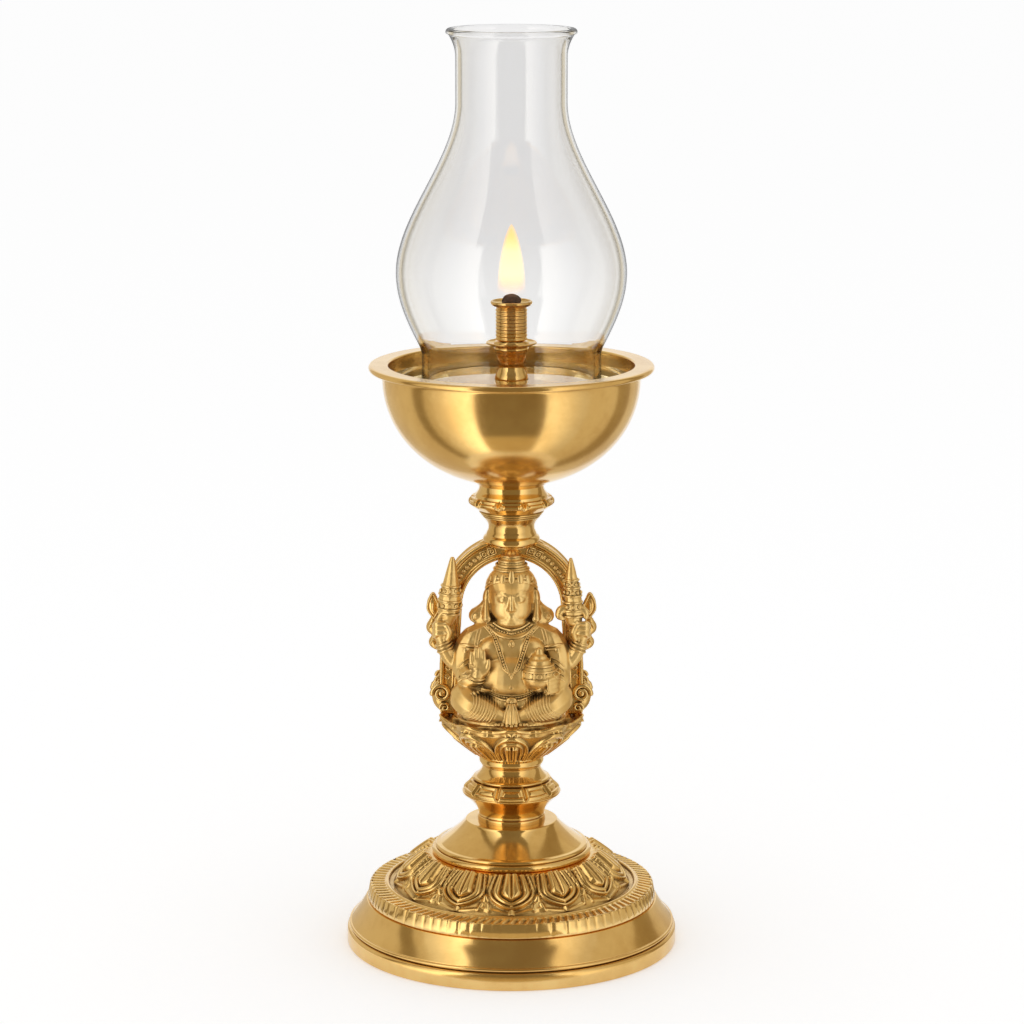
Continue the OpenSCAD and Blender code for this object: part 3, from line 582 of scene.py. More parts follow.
def lotus_relief(across, radius, height):
    """Petals with nested rims round a bulb, each under a pointed tip; the rim dips between the tips."""
    side = abs(across)
    share = (height - lotus_bottom) / lotus_height
    if radius < 11.5 or share < 0.01:
        return radius, height, 0
    valley = ease((side - 0.1) / 0.8) - 0.3 * bump(side, 1, 0.14)
    set_back = valley * ease((share - 0.74) / 0.2) * ease((radius - 21) / 3)
    if share > 0.96 or radius < lotus_radius(share) - 1.2:
        return radius - 1.8 * set_back, height - 1.2 * set_back, 0.8 if radius < 25 else 0.2
    from_middle = side * math.pi * radius / LOTUS_PETALS
    from_gap = (1 - side) * math.pi * radius / LOTUS_PETALS
    inside = lotus_inside(share, from_middle)
    floor = 0.5 * ease(inside / 0.3)
    rims = 0.95 * ridge(inside, 0, 1.6) + 0.85 * ridge(inside, 2.1, 3.3)
    bulb_place = inside - 3.6
    bulb = 1.3 * math.sqrt(ease(bulb_place / 1.4))
    bulb -= 0.9 * bump(from_middle, 0, 0.34) * ease(bulb_place / 0.5)
    point = 1.3 * bump(from_middle, 0, 0.9) * bump(share, 0.885, 0.035)
    lobes = 0.9 * bump(from_middle, 1.9, 0.8) * bump(share, 0.86, 0.025)
    bud = 0.9 * bump(from_gap, 0, 1.9) * bump(share, 0.88, 0.035)
    lift = max(floor + rims + bulb if inside > 0 else 0, point, lobes, bud)
    lift *= ease(share / 0.06) * ease((0.96 - share) / 0.06)
    return radius - 1.8 * set_back + 0.72 * lift, height - 1.2 * set_back - 0.5 * lift, 1 - ease(lift / 0.9)


lotus_outline = above(lotus_bottom, [(3, 0), (11.6, 0), (12, 0.2)])
for step in range(LOTUS_STEPS + 1):
    share = step / LOTUS_STEPS
    lotus_outline.append((lotus_radius(share) - 0.6, mix(lotus_bottom + 0.3, lotus_top - 0.6, share)))
lotus_outline += above(lotus_top, roll(LOTUS_RIM - 1.1, -0.35, 0.5, 10, 110, 5))
lotus_outline += above(lotus_top, [(24.9, -1), (23.8, -1.5), (22.6, -1.2), (21.6, -0.2), (21.2, 0), (3, 0)])
lotus_seat = carved("lotus_seat_carved", lotus_outline, LOTUS_PETALS, lotus_relief, 60,
                    fine_where(0.32, 12, lotus_bottom + 0.1))
place_piece(lotus_seat, cast_brass("lotus_brass", 0.24, reach=3), "cast_brass", "lamp", "lotus_seat")


# Figure: a seated four-armed figure cast in brass in one piece, with its jewellery chased after casting.
# Two pins under its plinth locate it on the lotus. The face is a plain calm one.
class Clay:
    """Collects the masses of a cast model, in mm above a floor, and joins them into one skin."""

    def __init__(self, name, floor):
        self.name = name
        self.floor = floor
        self.pieces = []

    def keep(self):
        piece = bpy.context.object
        bpy.ops.object.transform_apply(location=True, rotation=True, scale=True)
        self.pieces.append(piece)
        return piece

    def spot(self, place):
        return Vector((place[0], place[1], place[2] + self.floor)) * MM

    def ball(self, place, size, turn=(0, 0, 0), fine=1):
        """A rounded mass; size gives its three half-widths, and turn its tilt in degrees."""
        size = size if hasattr(size, "__len__") else (size, size, size)
        bpy.ops.object.select_all(action="DESELECT")
        bpy.ops.mesh.primitive_uv_sphere_add(
            segments=8 * fine + 6, ring_count=5 * fine + 4, radius=MM, location=self.spot(place), scale=size,
            rotation=[math.radians(angle) for angle in turn])
        return self.keep()

    def balls(self, place, size, turn=(0, 0, 0), fine=1):
        """A ball on each side of the figure."""
        self.ball(place, size, turn, fine)
        self.ball((-place[0], *place[1:]), size, (turn[0], -turn[1], -turn[2]), fine)

    def hoop(self, place, radius, thick, facing=(0, 0, 1), steps=28, sides=8):
        """A ring that faces along a direction."""
        turn = Vector(facing).to_track_quat("Z", "Y").to_euler()
        bpy.ops.object.select_all(action="DESELECT")
        bpy.ops.mesh.primitive_torus_add(
            major_radius=radius * MM, minor_radius=thick * MM, major_segments=steps, minor_segments=sides,
            location=self.spot(place), rotation=turn)
        return self.keep()

    def cords(self, routes, mirrored=False, sides=2, steps=5):
        """Round cords and limbs, each through (x, y, z, radius) points, with rounded ends."""
        if mirrored:
            routes = routes + [[(-x, y, z, radius) for x, y, z, radius in route] for route in routes]
        lines = bpy.data.curves.new(self.name, "CURVE")
        lines.dimensions = "3D"
        lines.bevel_depth = MM
        lines.bevel_resolution = sides
        lines.use_fill_caps = True
        for route in routes:
            points = flow(route, steps)
            for end, inner in ((0, 1), (-1, -2)):
                tip = Vector(points[end][:3])
                out = (tip - Vector(points[inner][:3])).normalized()
                radius = points[end][3]
                caps = [(*(tip + out * radius * reach), radius * share)
                        for reach, share in ((0.55, 0.83), (0.85, 0.53), (1, 0.1))]
                points = caps[::-1] + points if end == 0 else points + caps
            line = lines.splines.new("POLY")
            line.points.add(len(points) - 1)
            for spot, (x, y, z, radius) in zip(line.points, points):
                spot.co = (*self.spot((x, y, z)), 1)
                spot.radius = radius
        piece = bpy.data.objects.new(self.name, lines)
        bpy.context.collection.objects.link(piece)
        only(piece)
        bpy.ops.object.convert(target="MESH")
        self.pieces.append(bpy.context.object)

    def on_skin(self, x, z, lift):
        """The place on the front of the fused skin at this x and height, raised towards the viewer."""
        place = self.pieces[0].ray_cast(self.spot((x, -60, z)), Vector((0, 1, 0)))[1]
        return x, place.y / MM - lift, z

    def chased(self, route, radius, lift=0.1, mirrored=False, sides=1):
        """A raised line that follows the fused skin, through (x, height) points."""
        places = [self.on_skin(x, z, lift) for x, z in flow(route, 5)]
        self.cords([[(*place, radius) for place in places]], mirrored, sides, 1)

    def beads(self, route, count, size, lift=0.2, mirrored=False):
        """A row of beads that follows the fused skin, through (x, height) points."""
        line = flow(route, 16)
        for bead in range(count):
            x, z = line[round(bead * (len(line) - 1) / (count - 1))]
            place = self.on_skin(x, z, lift)
            self.ball(place, size, fine=0)
            if mirrored and x > 0.3:
                self.ball((-x, *place[1:]), size, fine=0)

    def join(self):
        piece = join(self.pieces)
        bpy.ops.object.shade_smooth()
        piece.name = self.name
        self.pieces = [piece]
        return piece

    def fuse(self, grain, rounds):
        """Turns the joined masses into one even skin with points this far apart, and softens it."""
        piece = self.join()
        for kind, values in (("REMESH", {"mode": "VOXEL", "voxel_size": grain * MM}),
                             ("SMOOTH", {"factor": 0.5, "iterations": rounds}),
                             ("DECIMATE", {"ratio": 0.77})):
            step = piece.modifiers.new(kind.lower(), kind)
            for key, value in values.items():
                setattr(step, key, value)
            bpy.ops.object.modifier_apply(modifier=step.name)
        bpy.ops.object.shade_smooth()
        bpy.context.view_layer.update()
        return piece


def between(a, b, c, d, share):
    """The value at a share of the way from b to c, on a smooth curve through all four."""
    square = 2 * a - 5 * b + 4 * c - d
    cube = 3 * b - a - 3 * c + d
    return 0.5 * (2 * b + (c - a) * share + square * share * share + cube * share ** 3)


def flow(route, steps):
    """Points of a smooth line through the route's points; what each point carries is carried along."""
    line = []
    last = len(route) - 1
    for index in range(last):
        near = [route[min(max(index + shift, 0), last)] for shift in (-1, 0, 1, 2)]
        line += [tuple(between(*values, step / steps) for values in zip(*near)) for step in range(steps)]
    return line + [tuple(route[-1])]


model = Clay("figure_cast", lotus_top)
ball = model.ball
balls = model.balls
cords = model.cords
hoop = model.hoop
chased = model.chased
beads = model.beads

# The head: skull, jaw and cheeks, then nose, closed lids, brows and lips, and ears with hair behind.
ball((0, -5.2, 45), (8.2, 7.5, 9.4), fine=2)
ball((0, -7, 41), (7.5, 6, 6.2), fine=3)
ball((0, -11, 37.6), (2.6, 1.9, 1.7))
ball((0, -8.6, 36.2), (5.4, 3.9, 2.4), fine=2)
cords([[(0, -12.1, 46.4, 0.75), (0, -12.9, 43.8, 0.9), (0, -13.5, 41.9, 1.2)]])
balls((1.1, -12.8, 41.4), 0.8)
balls((3, -11.7, 44.7), (1.7, 1, 0.95), (0, 0, 14))
cords([[(1.3, -12.4, 46.5, 0.4), (3.1, -12.1, 47.3, 0.48), (5.3, -10.7, 46.4, 0.36)]], True)
cords([[(1.5, -12.3, 45.4, 0.3), (3.1, -12.3, 45.8, 0.36), (4.8, -11.2, 45.2, 0.3)]], True)
cords([[(-2.4, -11.7, 39.7, 0.35), (-1, -12.6, 39.9, 0.55), (0, -12.75, 39.7, 0.5),
        (1, -12.6, 39.9, 0.55), (2.4, -11.7, 39.7, 0.35)]])
cords([[(-1.9, -11.8, 39, 0.35), (0, -12.6, 38.6, 0.7), (1.9, -11.8, 39, 0.35)]])
balls((9, -4.6, 44.6), (1.5, 2.3, 3.4), (0, -8, 0))
cords([[(9, -5.6, 42.6, 1.3), (9.1, -6.2, 40, 1.2), (8.9, -6.8, 37.2, 1.7)]], True)
cords([[(7.8, -2.2, 43, 2.2), (10, -2.2, 39.8, 2.3), (12.7, -2.8, 37.2, 3)],
        [(6.4, -3.2, 41, 3.2), (8.8, -3.4, 37.8, 3), (11.2, -3.4, 35.2, 2.6)]], True)

# The crown: a cap over the skull, two tiers and a spire.
ball((0, -5.4, 50), (9, 8.6, 6.6), (-14, 0, 0), 2)
ball((0, -5.3, 55), (6.3, 6.1, 3.2), fine=2)
ball((0, -5.3, 57.4), (5, 4.9, 2.6))
ball((0, -5.3, 59.4), (3.7, 3.6, 1.7))
cords([[(0, -5.3, 59.6, 2.5), (0, -5.3, 61, 2.3), (0, -5.3, 62.2, 1.4), (0, -5.3, 63, 0.5)]])

# The trunk: neck, shoulders, chest, belly and seat.
cords([[(0, -4.8, 36.5, 5.6), (0, -4.2, 30.5, 6.6)]])
cords([[(2, -4.2, 33.8, 4.6), (8, -4.6, 31.6, 4.7), (14.2, -5.2, 28.6, 5)]], True)
ball((0, -4.8, 25.6), (14, 8.6, 8.8), fine=2)
balls((6.5, -9.8, 26), (5.8, 4.2, 4.7), fine=2)
ball((0, -8, 15.6), (13.4, 10.3, 9.8), fine=3)
ball((0, -4, 6.6), (14.6, 9.6, 6.6), fine=2)
ball((0, -10.4, 7), (13.4, 7.8, 4.4), fine=2)

# The front arms: one palm is raised, and the other hand holds a lidded pot.
cords([[(14.2, -5.4, 28.4, 5.1), (16.2, -6.4, 23.6, 5.4), (16.6, -8, 18.4, 5.2)]], True, 3)
cords([[(-16.3, -8.4, 17.6, 5), (-15.4, -12.2, 16.2, 4.3),
        (-12.8, -14.8, 17, 3.2), (-12.2, -15.4, 18.8, 2.7)]], False, 3)
ball((-12, -15.7, 21.2), (3.6, 1.6, 3.6), (10, 0, -8))
ball((-10.3, -16.3, 19.6), (1.9, 1.3, 2.2))
raised_fingers = ((-14.5, 22.4, 26.4), (-13, 23.2, 27.9), (-11.5, 23.2, 28.1), (-10, 22.6, 26.9))
cords([[(x, -16, low, 0.88), (x, -16.4, mix(low, high, 0.6), 0.82), (x, -16, high, 0.62)]
        for x, low, high in raised_fingers])
cords([[(-9.4, -16.2, 19.2, 1.15), (-8.4, -16.6, 21.2, 1), (-8.2, -16.4, 23.4, 0.75)]])
cords([[(16.4, -8.4, 17.6, 5), (17.4, -11.8, 14.8, 4),
        (15.4, -15, 13.2, 3), (13.6, -16.4, 12.8, 2.6)]], False, 3)
POT = (10.1, -15)
ball((*POT, 17.8), (6.6, 6.3, 6), fine=2)
cords([[(17, -14, 13.6 + 1.7 * finger, 0.95), (16.2, -18.2, 12.8 + 1.7 * finger, 0.88),
        (13.4, -20.8, 12.6 + 1.5 * finger, 0.72)] for finger in range(4)])
ball((*POT, 23.2), (4.2, 4.1, 1.2))
ball((*POT, 24.6), (2.9, 2.8, 1.3))
ball((*POT, 26.4), (1.5, 1.5, 1.7))

# The crossed legs, the feet, the fall of cloth between them and the plinth.
leg = [(8, -5, 8, 6.6), (13.8, -9.6, 8.9, 6.7), (16.4, -12.4, 8.5, 6.1),
       (14.2, -15.8, 6.6, 5.5), (9.6, -17.6, 4.9, 4.6), (4.8, -18.6, 3.3, 3.3)]
cords([leg], True, 3, 6)
balls((3, -19.2, 2.2), (3.4, 2.2, 1.8))
cords([[(0, -17.2, 8.6, 1.6), (0, -19.8, 5.4, 2.4), (0, -20.9, 2.2, 3), (0, -21, 1.2, 3.1)]])
ball((0, -8.6, 0.4), (20, 14.2, 2), fine=2)

# The rear arms: one hand holds a lotus bud, and the other a tiered ornament.
cords([[(12.5, -4, 25.5, 4.4), (18.8, -5.4, 20.6, 3.8),
        (22.4, -6.2, 22.6, 3.3), (24.8, -6.6, 27, 2.7)]], True, 3)
balls((25.6, -6.7, 31.4), (2.9, 2.3, 3.6))
cords([[(28, -7.4, 30.4 + 1.9 * finger, 1), (27.2, -9.8, 31.8 + 1.9 * finger, 1),
        (24.4, -10, 31.9 + 1.9 * finger, 0.85)] for finger in range(3)], True)
cords([[(23.4, -8.4, 29.6, 1.15), (22.4, -9.6, 32.2, 1.05), (23.4, -10.2, 34.8, 0.85)]], True)
cords([[(-27, -8.2, 36.4, 1), (-25.8, -9.2, 38.6, 0.9), (-24.6, -9.2, 39.8, 0.7)]])
ORNAMENT_Y = -7
lotus_bud = [(-23.6, 35.5, 2.4), (-22.8, 39.4, 3.8), (-22.4, 43, 4.3), (-22.2, 46.6, 3.9),
             (-21.9, 50.4, 3), (-21.6, 55, 2), (-21.4, 59, 1)]
tiers = [(22.6, 37, 3.4), (22.4, 40.4, 4.2), (22.4, 43.2, 3.3), (22.1, 47, 2.9),
         (21.8, 50.4, 2.5), (21.6, 54.6, 1.8), (21.5, 59, 0.7)]
for ornament in (lotus_bud, tiers):
    cords([[(x, ORNAMENT_Y, z, radius) for x, z, radius in ornament]], False, 3)
cords([[(20.4, -8.6, 41.2, 1.7), (18, -9, 40.6, 1.7), (17.2, -9, 38.4, 1.4), (18.6, -9, 37.4, 1)],
        [(24.8, -8.6, 40.8, 1.6), (26.8, -9, 39.8, 1.5), (27, -9, 38, 1.1)]])
model.fuse(0.36, 3)

# Chased work on the crown and the ears.
BAND_TILT = (0, 0.55, 1)
hoop((0, -5.4, 48), 9.15, 0.6, BAND_TILT)
hoop((0, -5.2, 49.2), 9.1, 0.4, BAND_TILT)
CROWN_LEAVES = 16
for leaf in range(CROWN_LEAVES):
    turn = FULL_TURN * leaf / CROWN_LEAVES
    place = (8.5 * math.sin(turn), -5.3 - 8.3 * math.cos(turn), 50.6 + 2.6 * math.cos(turn))
    ball(place, (1.25, 0.6, 1.9), (-20, 0, math.degrees(turn)))
ball((0, -13.3, 54), (1.1, 0.7, 2.2), (-16, 0, 0))
for height, radius, thick in ((55.2, 6.25, 0.5), (56.8, 5.5, 0.45), (58.4, 4.7, 0.45), (60, 3.4, 0.4)):
    hoop((0, -5.3, height), radius, thick)
hoop((0, -13, 48.9), 0.7, 0.26, (0, 1, 0.1), 14, 6)
for side in (-1, 1):
    hoop((side * 12.8, -4.9, 36.9), 1.8, 0.45, (side * 0.1, 1, 0), 18, 6)
    ball((side * 12.8, -5, 36.9), 0.8)
    hoop((side * 8.8, -7.9, 36.9), 1, 0.32, (0, 1, 0), 14, 6)
    hoop((side * 9.3, -5.6, 42.2), 0.9, 0.3, (side * 0.5, 1, 0), 14, 6)

# Necklaces, garland, belt and shawl follow the body.
chased([(6.4, 35.4), (3.6, 33.9), (0, 33.3)], 0.5, 0.1, True)
beads([(7.4, 34.8), (4.2, 32.8), (0, 32)], 11, 0.55, 0.1, True)
chased([(8.2, 34), (4.8, 31.4), (0, 30.6)], 0.55, 0.1, True)
ball(model.on_skin(0, 28.9, 0.3), (1, 0.7, 1.5))
hoop(model.on_skin(0, 28.7, 0.7), 1, 0.28, (0, 1, 0), 14, 6)
garland = [(9, 34.2), (6.6, 31.6), (5, 28.4), (3.7, 24.2), (2.1, 20.4), (0, 18)]
beads(garland, 26, 0.55, 0.35, True)
for shift in (-0.8, 0.8):
    chased([(x + shift * (x > 0), z + shift * (x == 0)) for x, z in garland], 0.32, 0.3, True)
belt = [(10.6, 12.9), (7, 11), (3.6, 9.9), (0, 9.5)]
beads(belt, 19, 0.5, 0.15, True)
for shift in (-0.9, 0.9):
    chased([(x, z + shift) for x, z in belt], 0.42, 0.1, True)
ball((0, -18.9, 8.9), (2.2, 0.9, 1.4))
for bead in (-1.1, 0, 1.1):
    ball((bead, -19.6, 8.9), 0.6, fine=0)
hoop(model.on_skin(0, 13.7, 0.05), 0.6, 0.26, (0, 1, 0.1), 14, 6)
for start in (11, 12.1):
    chased([(start, 33.2), (start + 1, 29.6), (start + 1.3, 25.6)], 0.34, 0, True)
for fold in range(4):
    sleeve = [(13.8 + 0.4 * fold, 23.4 - 1.5 * fold), (16.6, 22.6 - 1.7 * fold), (19.2, 20.2 - 1.6 * fold)]
    chased(sleeve, 0.4, -0.1, True)
for side in (-1, 1):
    arm_axis = (side * 0.17, -0.25, -1)
    hoop((side * 14.5, -6, 26.4), 5.15, 0.5, arm_axis)
    hoop((side * 14.7, -6.2, 25.2), 5.2, 0.38, arm_axis)
    ball((side * 16.6, -10.8, 25.7), (1.2, 0.8, 1.4))
    for ring in range(3):
        place = (side * (24 + 0.4 * ring), -6.5, 25.4 + 1.2 * ring)
        hoop(place, 3 - 0.1 * ring, 0.45, (side * 0.4, 0, 1), 18, 6)
hoop((-12.6, -15, 17.6), 3.15, 0.42, (0.25, -0.3, 1), 18, 6)
hoop((-12.8, -14.6, 16.6), 3.3, 0.38, (0.3, -0.4, 1), 18, 6)

# Pleats circle the knees, and the fall of cloth has folds and a beaded hem.
KNEE = (18.8, 9.4)
for pleat in range(11):
    reach = 5.2 + 1 * pleat
    arc = [math.radians(angle) for angle in range(34, -86, -10)]
    arc = [(KNEE[0] - reach * math.cos(turn), KNEE[1] + reach * math.sin(turn)) for turn in arc]
    arc = [(x, z) for x, z in arc if x > 4.4 and z > 1.2 and z < 13]
    if len(arc) > 2:
        chased(arc, 0.34 + 0.06 * (pleat % 3), -0.12, True)
for fold in (-2.6, -1.2, 1.2, 2.6):
    chased([(fold * 0.4, 8), (fold * 0.8, 5), (fold, 1.8)], 0.45, 0)
beads([(-5.6, 0.9), (0, 0.9), (5.6, 0.9)], 9, 0.75, 0.4)

# The pot's bands and swags, and the rings and studs of the two ornaments.
for height, radius, thick in ((21.8, 5, 0.5), (20, 6.25, 0.42), (17, 6.6, 0.42)):
    hoop((*POT, height), radius, thick)
POT_SWAGS = 12
for swag in range(POT_SWAGS):
    turn = FULL_TURN * swag / POT_SWAGS
    place = (POT[0] + 6.3 * math.sin(turn), POT[1] - 6.1 * math.cos(turn), 18.5)
    hoop(place, 0.9, 0.3, (math.sin(turn), -math.cos(turn), 0.05), 12, 5)
for height, radius in ((39, 3.75), (40.8, 4.1), (43.8, 4.25), (46.2, 4), (49.2, 3.3)):
    hoop((-22.7 + (height - 38) * 0.06, ORNAMENT_Y, height), radius, 0.45, (0.05, 0, 1), 22, 6)
for height, radius in ((38.2, 3.9), (40.4, 4.3), (43.2, 3.4), (45.6, 3.2), (48.6, 2.8), (51.4, 2.4)):
    hoop((22.5 - (height - 37) * 0.04, ORNAMENT_Y, height), radius, 0.45, (0, 0, 1), 22, 6)
stud_rows = ((-22.4, 42.3, 4.3, 0.85), (-22.1, 47.7, 3.6, 0.8),
             (22.4, 41.8, 3.9, 0.85), (22.2, 47, 3.1, 0.75), (21.9, 50, 2.7, 0.65))
for bearing in range(-70, 71, 35):
    turn = math.radians(bearing)
    for x, height, radius, size in stud_rows:
        place = (x + radius * math.sin(turn), ORNAMENT_Y - radius * math.cos(turn), height)
        ball(place, size, fine=0)
figure = model.join()
# The figure's brass is a paler, lighter gold than the other castings: painted light that brightens the
# figure.
figure_brass_painted_lighter = cast_brass("figure_brass_painted_lighter", 0.38, (0.9, 0.65, 0.28), 3.4)
place_piece(figure, figure_brass_painted_lighter, "cast_brass", "lamp", "figure")
for node in ("figure_pins", "arch_pins"):
    paint(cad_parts[node], turned_brass(node + "_brass", 0.25))


# Arch: a flat brass casting round the figure, with raised rims, a chased band, and scrolls at its feet.
# Two pins locate its feet on the lotus, and the upper stem stands on its crown.
arch_bottom, arch_top = span("arch")
ARCH_FRONT = -3
ARCH_BACK = 5
ARCH_OUTER = 25.2
ARCH_INNER = 18.2
LEAF_Y = 0.5
ARCH_LEAF = ((28.2, 35.6), (26.4, 39), (27.4, 42.2), (28.7, 44.4), (30.2, 41.6), (30.4, 38.6), (28.2, 35.6))
arch_centre = arch_bottom + 40.5
arch_model = Clay("arch_cast", 0)


def arch_line(radius, foot_x, steps=40):
    """Places along one edge of the arch, from its left foot over the crown to its right foot."""
    shares = (0, 0.25, 0.5, 0.75)
    leg_line = [(-mix(foot_x, radius, share), mix(arch_bottom, arch_centre, share)) for share in shares]
    over = roll(0, arch_centre, radius, 180, 0, steps)
    return leg_line + over + [(-x, z) for x, z in leg_line[::-1]]


outer_edge = arch_line(ARCH_OUTER, 26.2)
inner_edge = arch_line(ARCH_INNER, 20.6)
band = trace("arch_band", outer_edge + inner_edge[::-1])
bpy.ops.mesh.edge_face_add()
band_depth = (ARCH_BACK - ARCH_FRONT - 0.8) * MM
bpy.ops.mesh.extrude_region_move(TRANSFORM_OT_translate={"value": (0, band_depth, 0)})
bpy.ops.mesh.select_all(action="SELECT")
bpy.ops.transform.translate(value=(0, (ARCH_FRONT + 0.4) * MM, 0))
bpy.ops.object.mode_set(mode="OBJECT")
close_up(band)
arch_model.pieces.append(band)
for y in (ARCH_FRONT + 0.1, ARCH_BACK - 0.1):
    for edge, wider, taller, thick in ((outer_edge, 0.985, 0.985, 0.95), (inner_edge, 1.03, 1.02, 0.85)):
        rim = [(x * wider, y, mix(arch_centre, z, taller), thick) for x, z in edge[1:-1]]
        arch_model.cords([rim], steps=2)
foot_curl = [(22.8, 2, 3.4), (25.4, 4.6, 3.6), (25.8, 8.4, 3.4), (24.6, 11.6, 2.4)]
arch_model.cords([[(x, 1, arch_bottom + z, radius) for x, z, radius in foot_curl]], True, 3)
for leaf_curl in ([(26, 29.6, 1.6), (28.6, 31.8, 2.7), (28.6, 34, 1.8)],
                  [(25.8, 24, 1.4), (28.2, 26.2, 2.2), (28.2, 28, 1.4)]):
    arch_model.cords([[(x, LEAF_Y, arch_bottom + z, radius) for x, z, radius in leaf_curl]], True, 3)
arch_model.balls((28.4, LEAF_Y, arch_bottom + 39.6), (2.5, 1.7, 4.4), (0, 10, 0), 2)
arch_model.cords([[(28.8, LEAF_Y, arch_bottom + 42.4, 1.5), (28.6, LEAF_Y, arch_bottom + 44.6, 0.5)]], True)
crown = [(-9.4, 1, arch_top - 1.4, 3), (0, 1, arch_top - 1, 3.2), (9.4, 1, arch_top - 1.4, 3)]
arch_model.cords([crown], False, 3)
arch_model.fuse(0.36, 3)


def scroll(x, y, z, size, thick, turns, side):
    """A cord that winds in from the size of a scroll to its eye."""
    steps = round(14 * turns)
    route = []
    for step in range(steps + 1):
        share = step / steps
        turn = FULL_TURN * turns * share
        reach = size * (1 - 0.8 * share)
        place = (side * (x + reach * math.cos(turn)), y, z + reach * math.sin(turn))
        route.append((*place, thick * (1 - 0.35 * share)))
    arch_model.cords([route], False, 2, 1)


for side in (-1, 1):
    for face, out in ((ARCH_FRONT, -1), (ARCH_BACK, 1)):
        scroll(25.7, face + out * 0.5, arch_bottom + 7.8, 3.4, 0.95, 1.7, side)
        arch_model.ball((side * 25.7, face + out * 0.6, arch_bottom + 7.8), (1.1, 0.8, 1.1))
        scroll(24.4, face + out * 0.2, arch_bottom + 2.4, 1.8, 0.65, 1.3, side)
        scroll(26.2, face + out * 0.1, arch_bottom + 12.8, 1.6, 0.6, 1.3, side)
        scroll(28.4, LEAF_Y + out * 2, arch_bottom + 32.2, 1.6, 0.6, 1.2, side)
        scroll(28, LEAF_Y + out * 1.6, arch_bottom + 26.4, 1.3, 0.5, 1.2, side)
        leaf = [(side * x, LEAF_Y + out, arch_bottom + z, 0.55) for x, z in ARCH_LEAF]
        arch_model.cords([leaf], False, 1, 4)
        arch_model.ball((side * 28.5, LEAF_Y + out * 1.4, arch_bottom + 39.6), (0.8, 0.7, 2))
        for motif in range(9):
            turn = math.radians(26 + 5.2 * motif if motif < 7 else 63 + 8 * (motif - 7))
            large = 0.85 if motif < 7 else 1.9
            spot = (side * 21.6 * math.cos(turn), face + out * -0.3, arch_centre + 21.6 * math.sin(turn))
            centre = Vector(spot) * MM
            twist = Matrix.Rotation((turn + math.pi / 4) * -side, 4, "Y")
            for size in (large, large * 0.45):
                piece = arch_model.hoop(spot, size, 0.32, (0, 1, 0), 4, 5)
                piece.data.transform(Matrix.Translation(centre) @ twist @ Matrix.Translation(-centre))
        for motif in range(6):
            spot = (side * mix(23.4, 21.8, motif / 6), face + out * -0.3, arch_bottom + 14 + 3.4 * motif)
            arch_model.hoop(spot, 1.1, 0.34, (0, 1, 0), 4, 5)
arch = arch_model.join()
place_piece(arch, cast_brass("arch_brass", 0.26), "cast_brass", "lamp", "arch")


# Upper stem: a short turned brass baluster with chased panels on its lip and fine rings under it.
# The stud from the arch passes through it and draws the bowl down on it.
UPPER_RINGS = 3
upper_bottom, upper_top = span("upper_stem")
upper_lip_height = upper_bottom + 16
upper_foot = [(2.3, 0), (9, 0)] + roll(8.5, 2.1, 1.9, -72, 62, 12)
upper_foot += sweep((9.2, 4), (8.4, 6.4), 0, 6) + sweep((8.4, 7), (10.2, 10.4), 1, 8)
for ring in range(UPPER_RINGS):
    upper_foot += roll(10.15 + 0.62 * ring, 10.9 + 0.8 * ring, 0.42, -70, 60, 5)
upper_outline = above(upper_bottom, upper_foot + [(12, 13.1)])
upper_outline += above(upper_lip_height, [(14.2, -1.3)] + roll(14.1, 0, 1.15, -50, 50, 10) + [(13.9, 2)])
upper_outline += sweep((13.8, upper_lip_height + 2.1), (11.75, upper_top - 0.8), -1, 10)
upper_outline += [(11.75, upper_top), (2.3, upper_top)]
upper_stem = carved("upper_stem_chased", upper_outline, STEM_PANELS,
                    panel_relief(upper_lip_height - 1, upper_lip_height + 1.9, PANEL_SHARE), 40,
                    fine_where(0.28, 9, upper_bottom + 13, upper_lip_height + 2.1))
place_piece(upper_stem, turned_brass("upper_stem_brass", 0.13), "turned_brass", "lamp", "upper_stem")


# Bowl stud: the zinc-plated steel stud that clamps stem, bowl and pillar to the arch.
# It is out of sight inside them.
paint(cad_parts["bowl_stud"], steel)


# Oil bowl: a deep bowl spun from brass sheet, with a flat rolled rim and a ledge inside for the chimney.
# The stud clamps it between the upper stem and the burner's pillar.
bowl_bottom, bowl_top = span("oil_bowl")
BOWL_RADIUS = 46.6
BOWL_INNER = 44.4
BOWL_CURVE = 2.1
LEDGE_RADIUS = 29
ledge_height = span("chimney")[0]


def bowl_wall(radius, floor, depth, first, steps):
    """Places up the bowl's wall, from this inner radius out to its full radius."""
    points = []
    for step in range(steps + 1):
        turn = mix(math.asin(first / radius), math.pi / 2, step / steps)
        across = radius * math.sin(turn) ** (2 / BOWL_CURVE)
        points.append((across, floor + depth * (1 - max(0, math.cos(turn)) ** (2 / BOWL_CURVE))))
    return points


bowl_outline = [(2.3, bowl_bottom), (12.2, bowl_bottom)]
bowl_outline += bowl_wall(BOWL_RADIUS, bowl_bottom, 40, 13, 44)
bowl_outline += above(bowl_bottom, [(46.7, 40.8), (47.2, 41.5), (48.2, 41.8)])
bowl_outline += above(bowl_top, roll(50.4, -1.15, 1.12, -70, 88, 10) + [(48, -0.15), (46, -0.1)])
bowl_outline += above(bowl_top, roll(45.1, -0.8, 0.75, 80, 190, 8))
inner_wall = bowl_wall(BOWL_INNER, bowl_bottom + 2.5, 37.5, 20, 40)
inner_wall = [place for place in inner_wall if place[1] > ledge_height + 0.2]
bowl_outline += inner_wall[::-1]
bowl_outline += [(inner_wall[0][0] - 0.3, ledge_height), (LEDGE_RADIUS, ledge_height)]
bowl_outline += sweep((LEDGE_RADIUS - 0.3, ledge_height - 0.3), (11, bowl_bottom + 2.5), 1, 14)
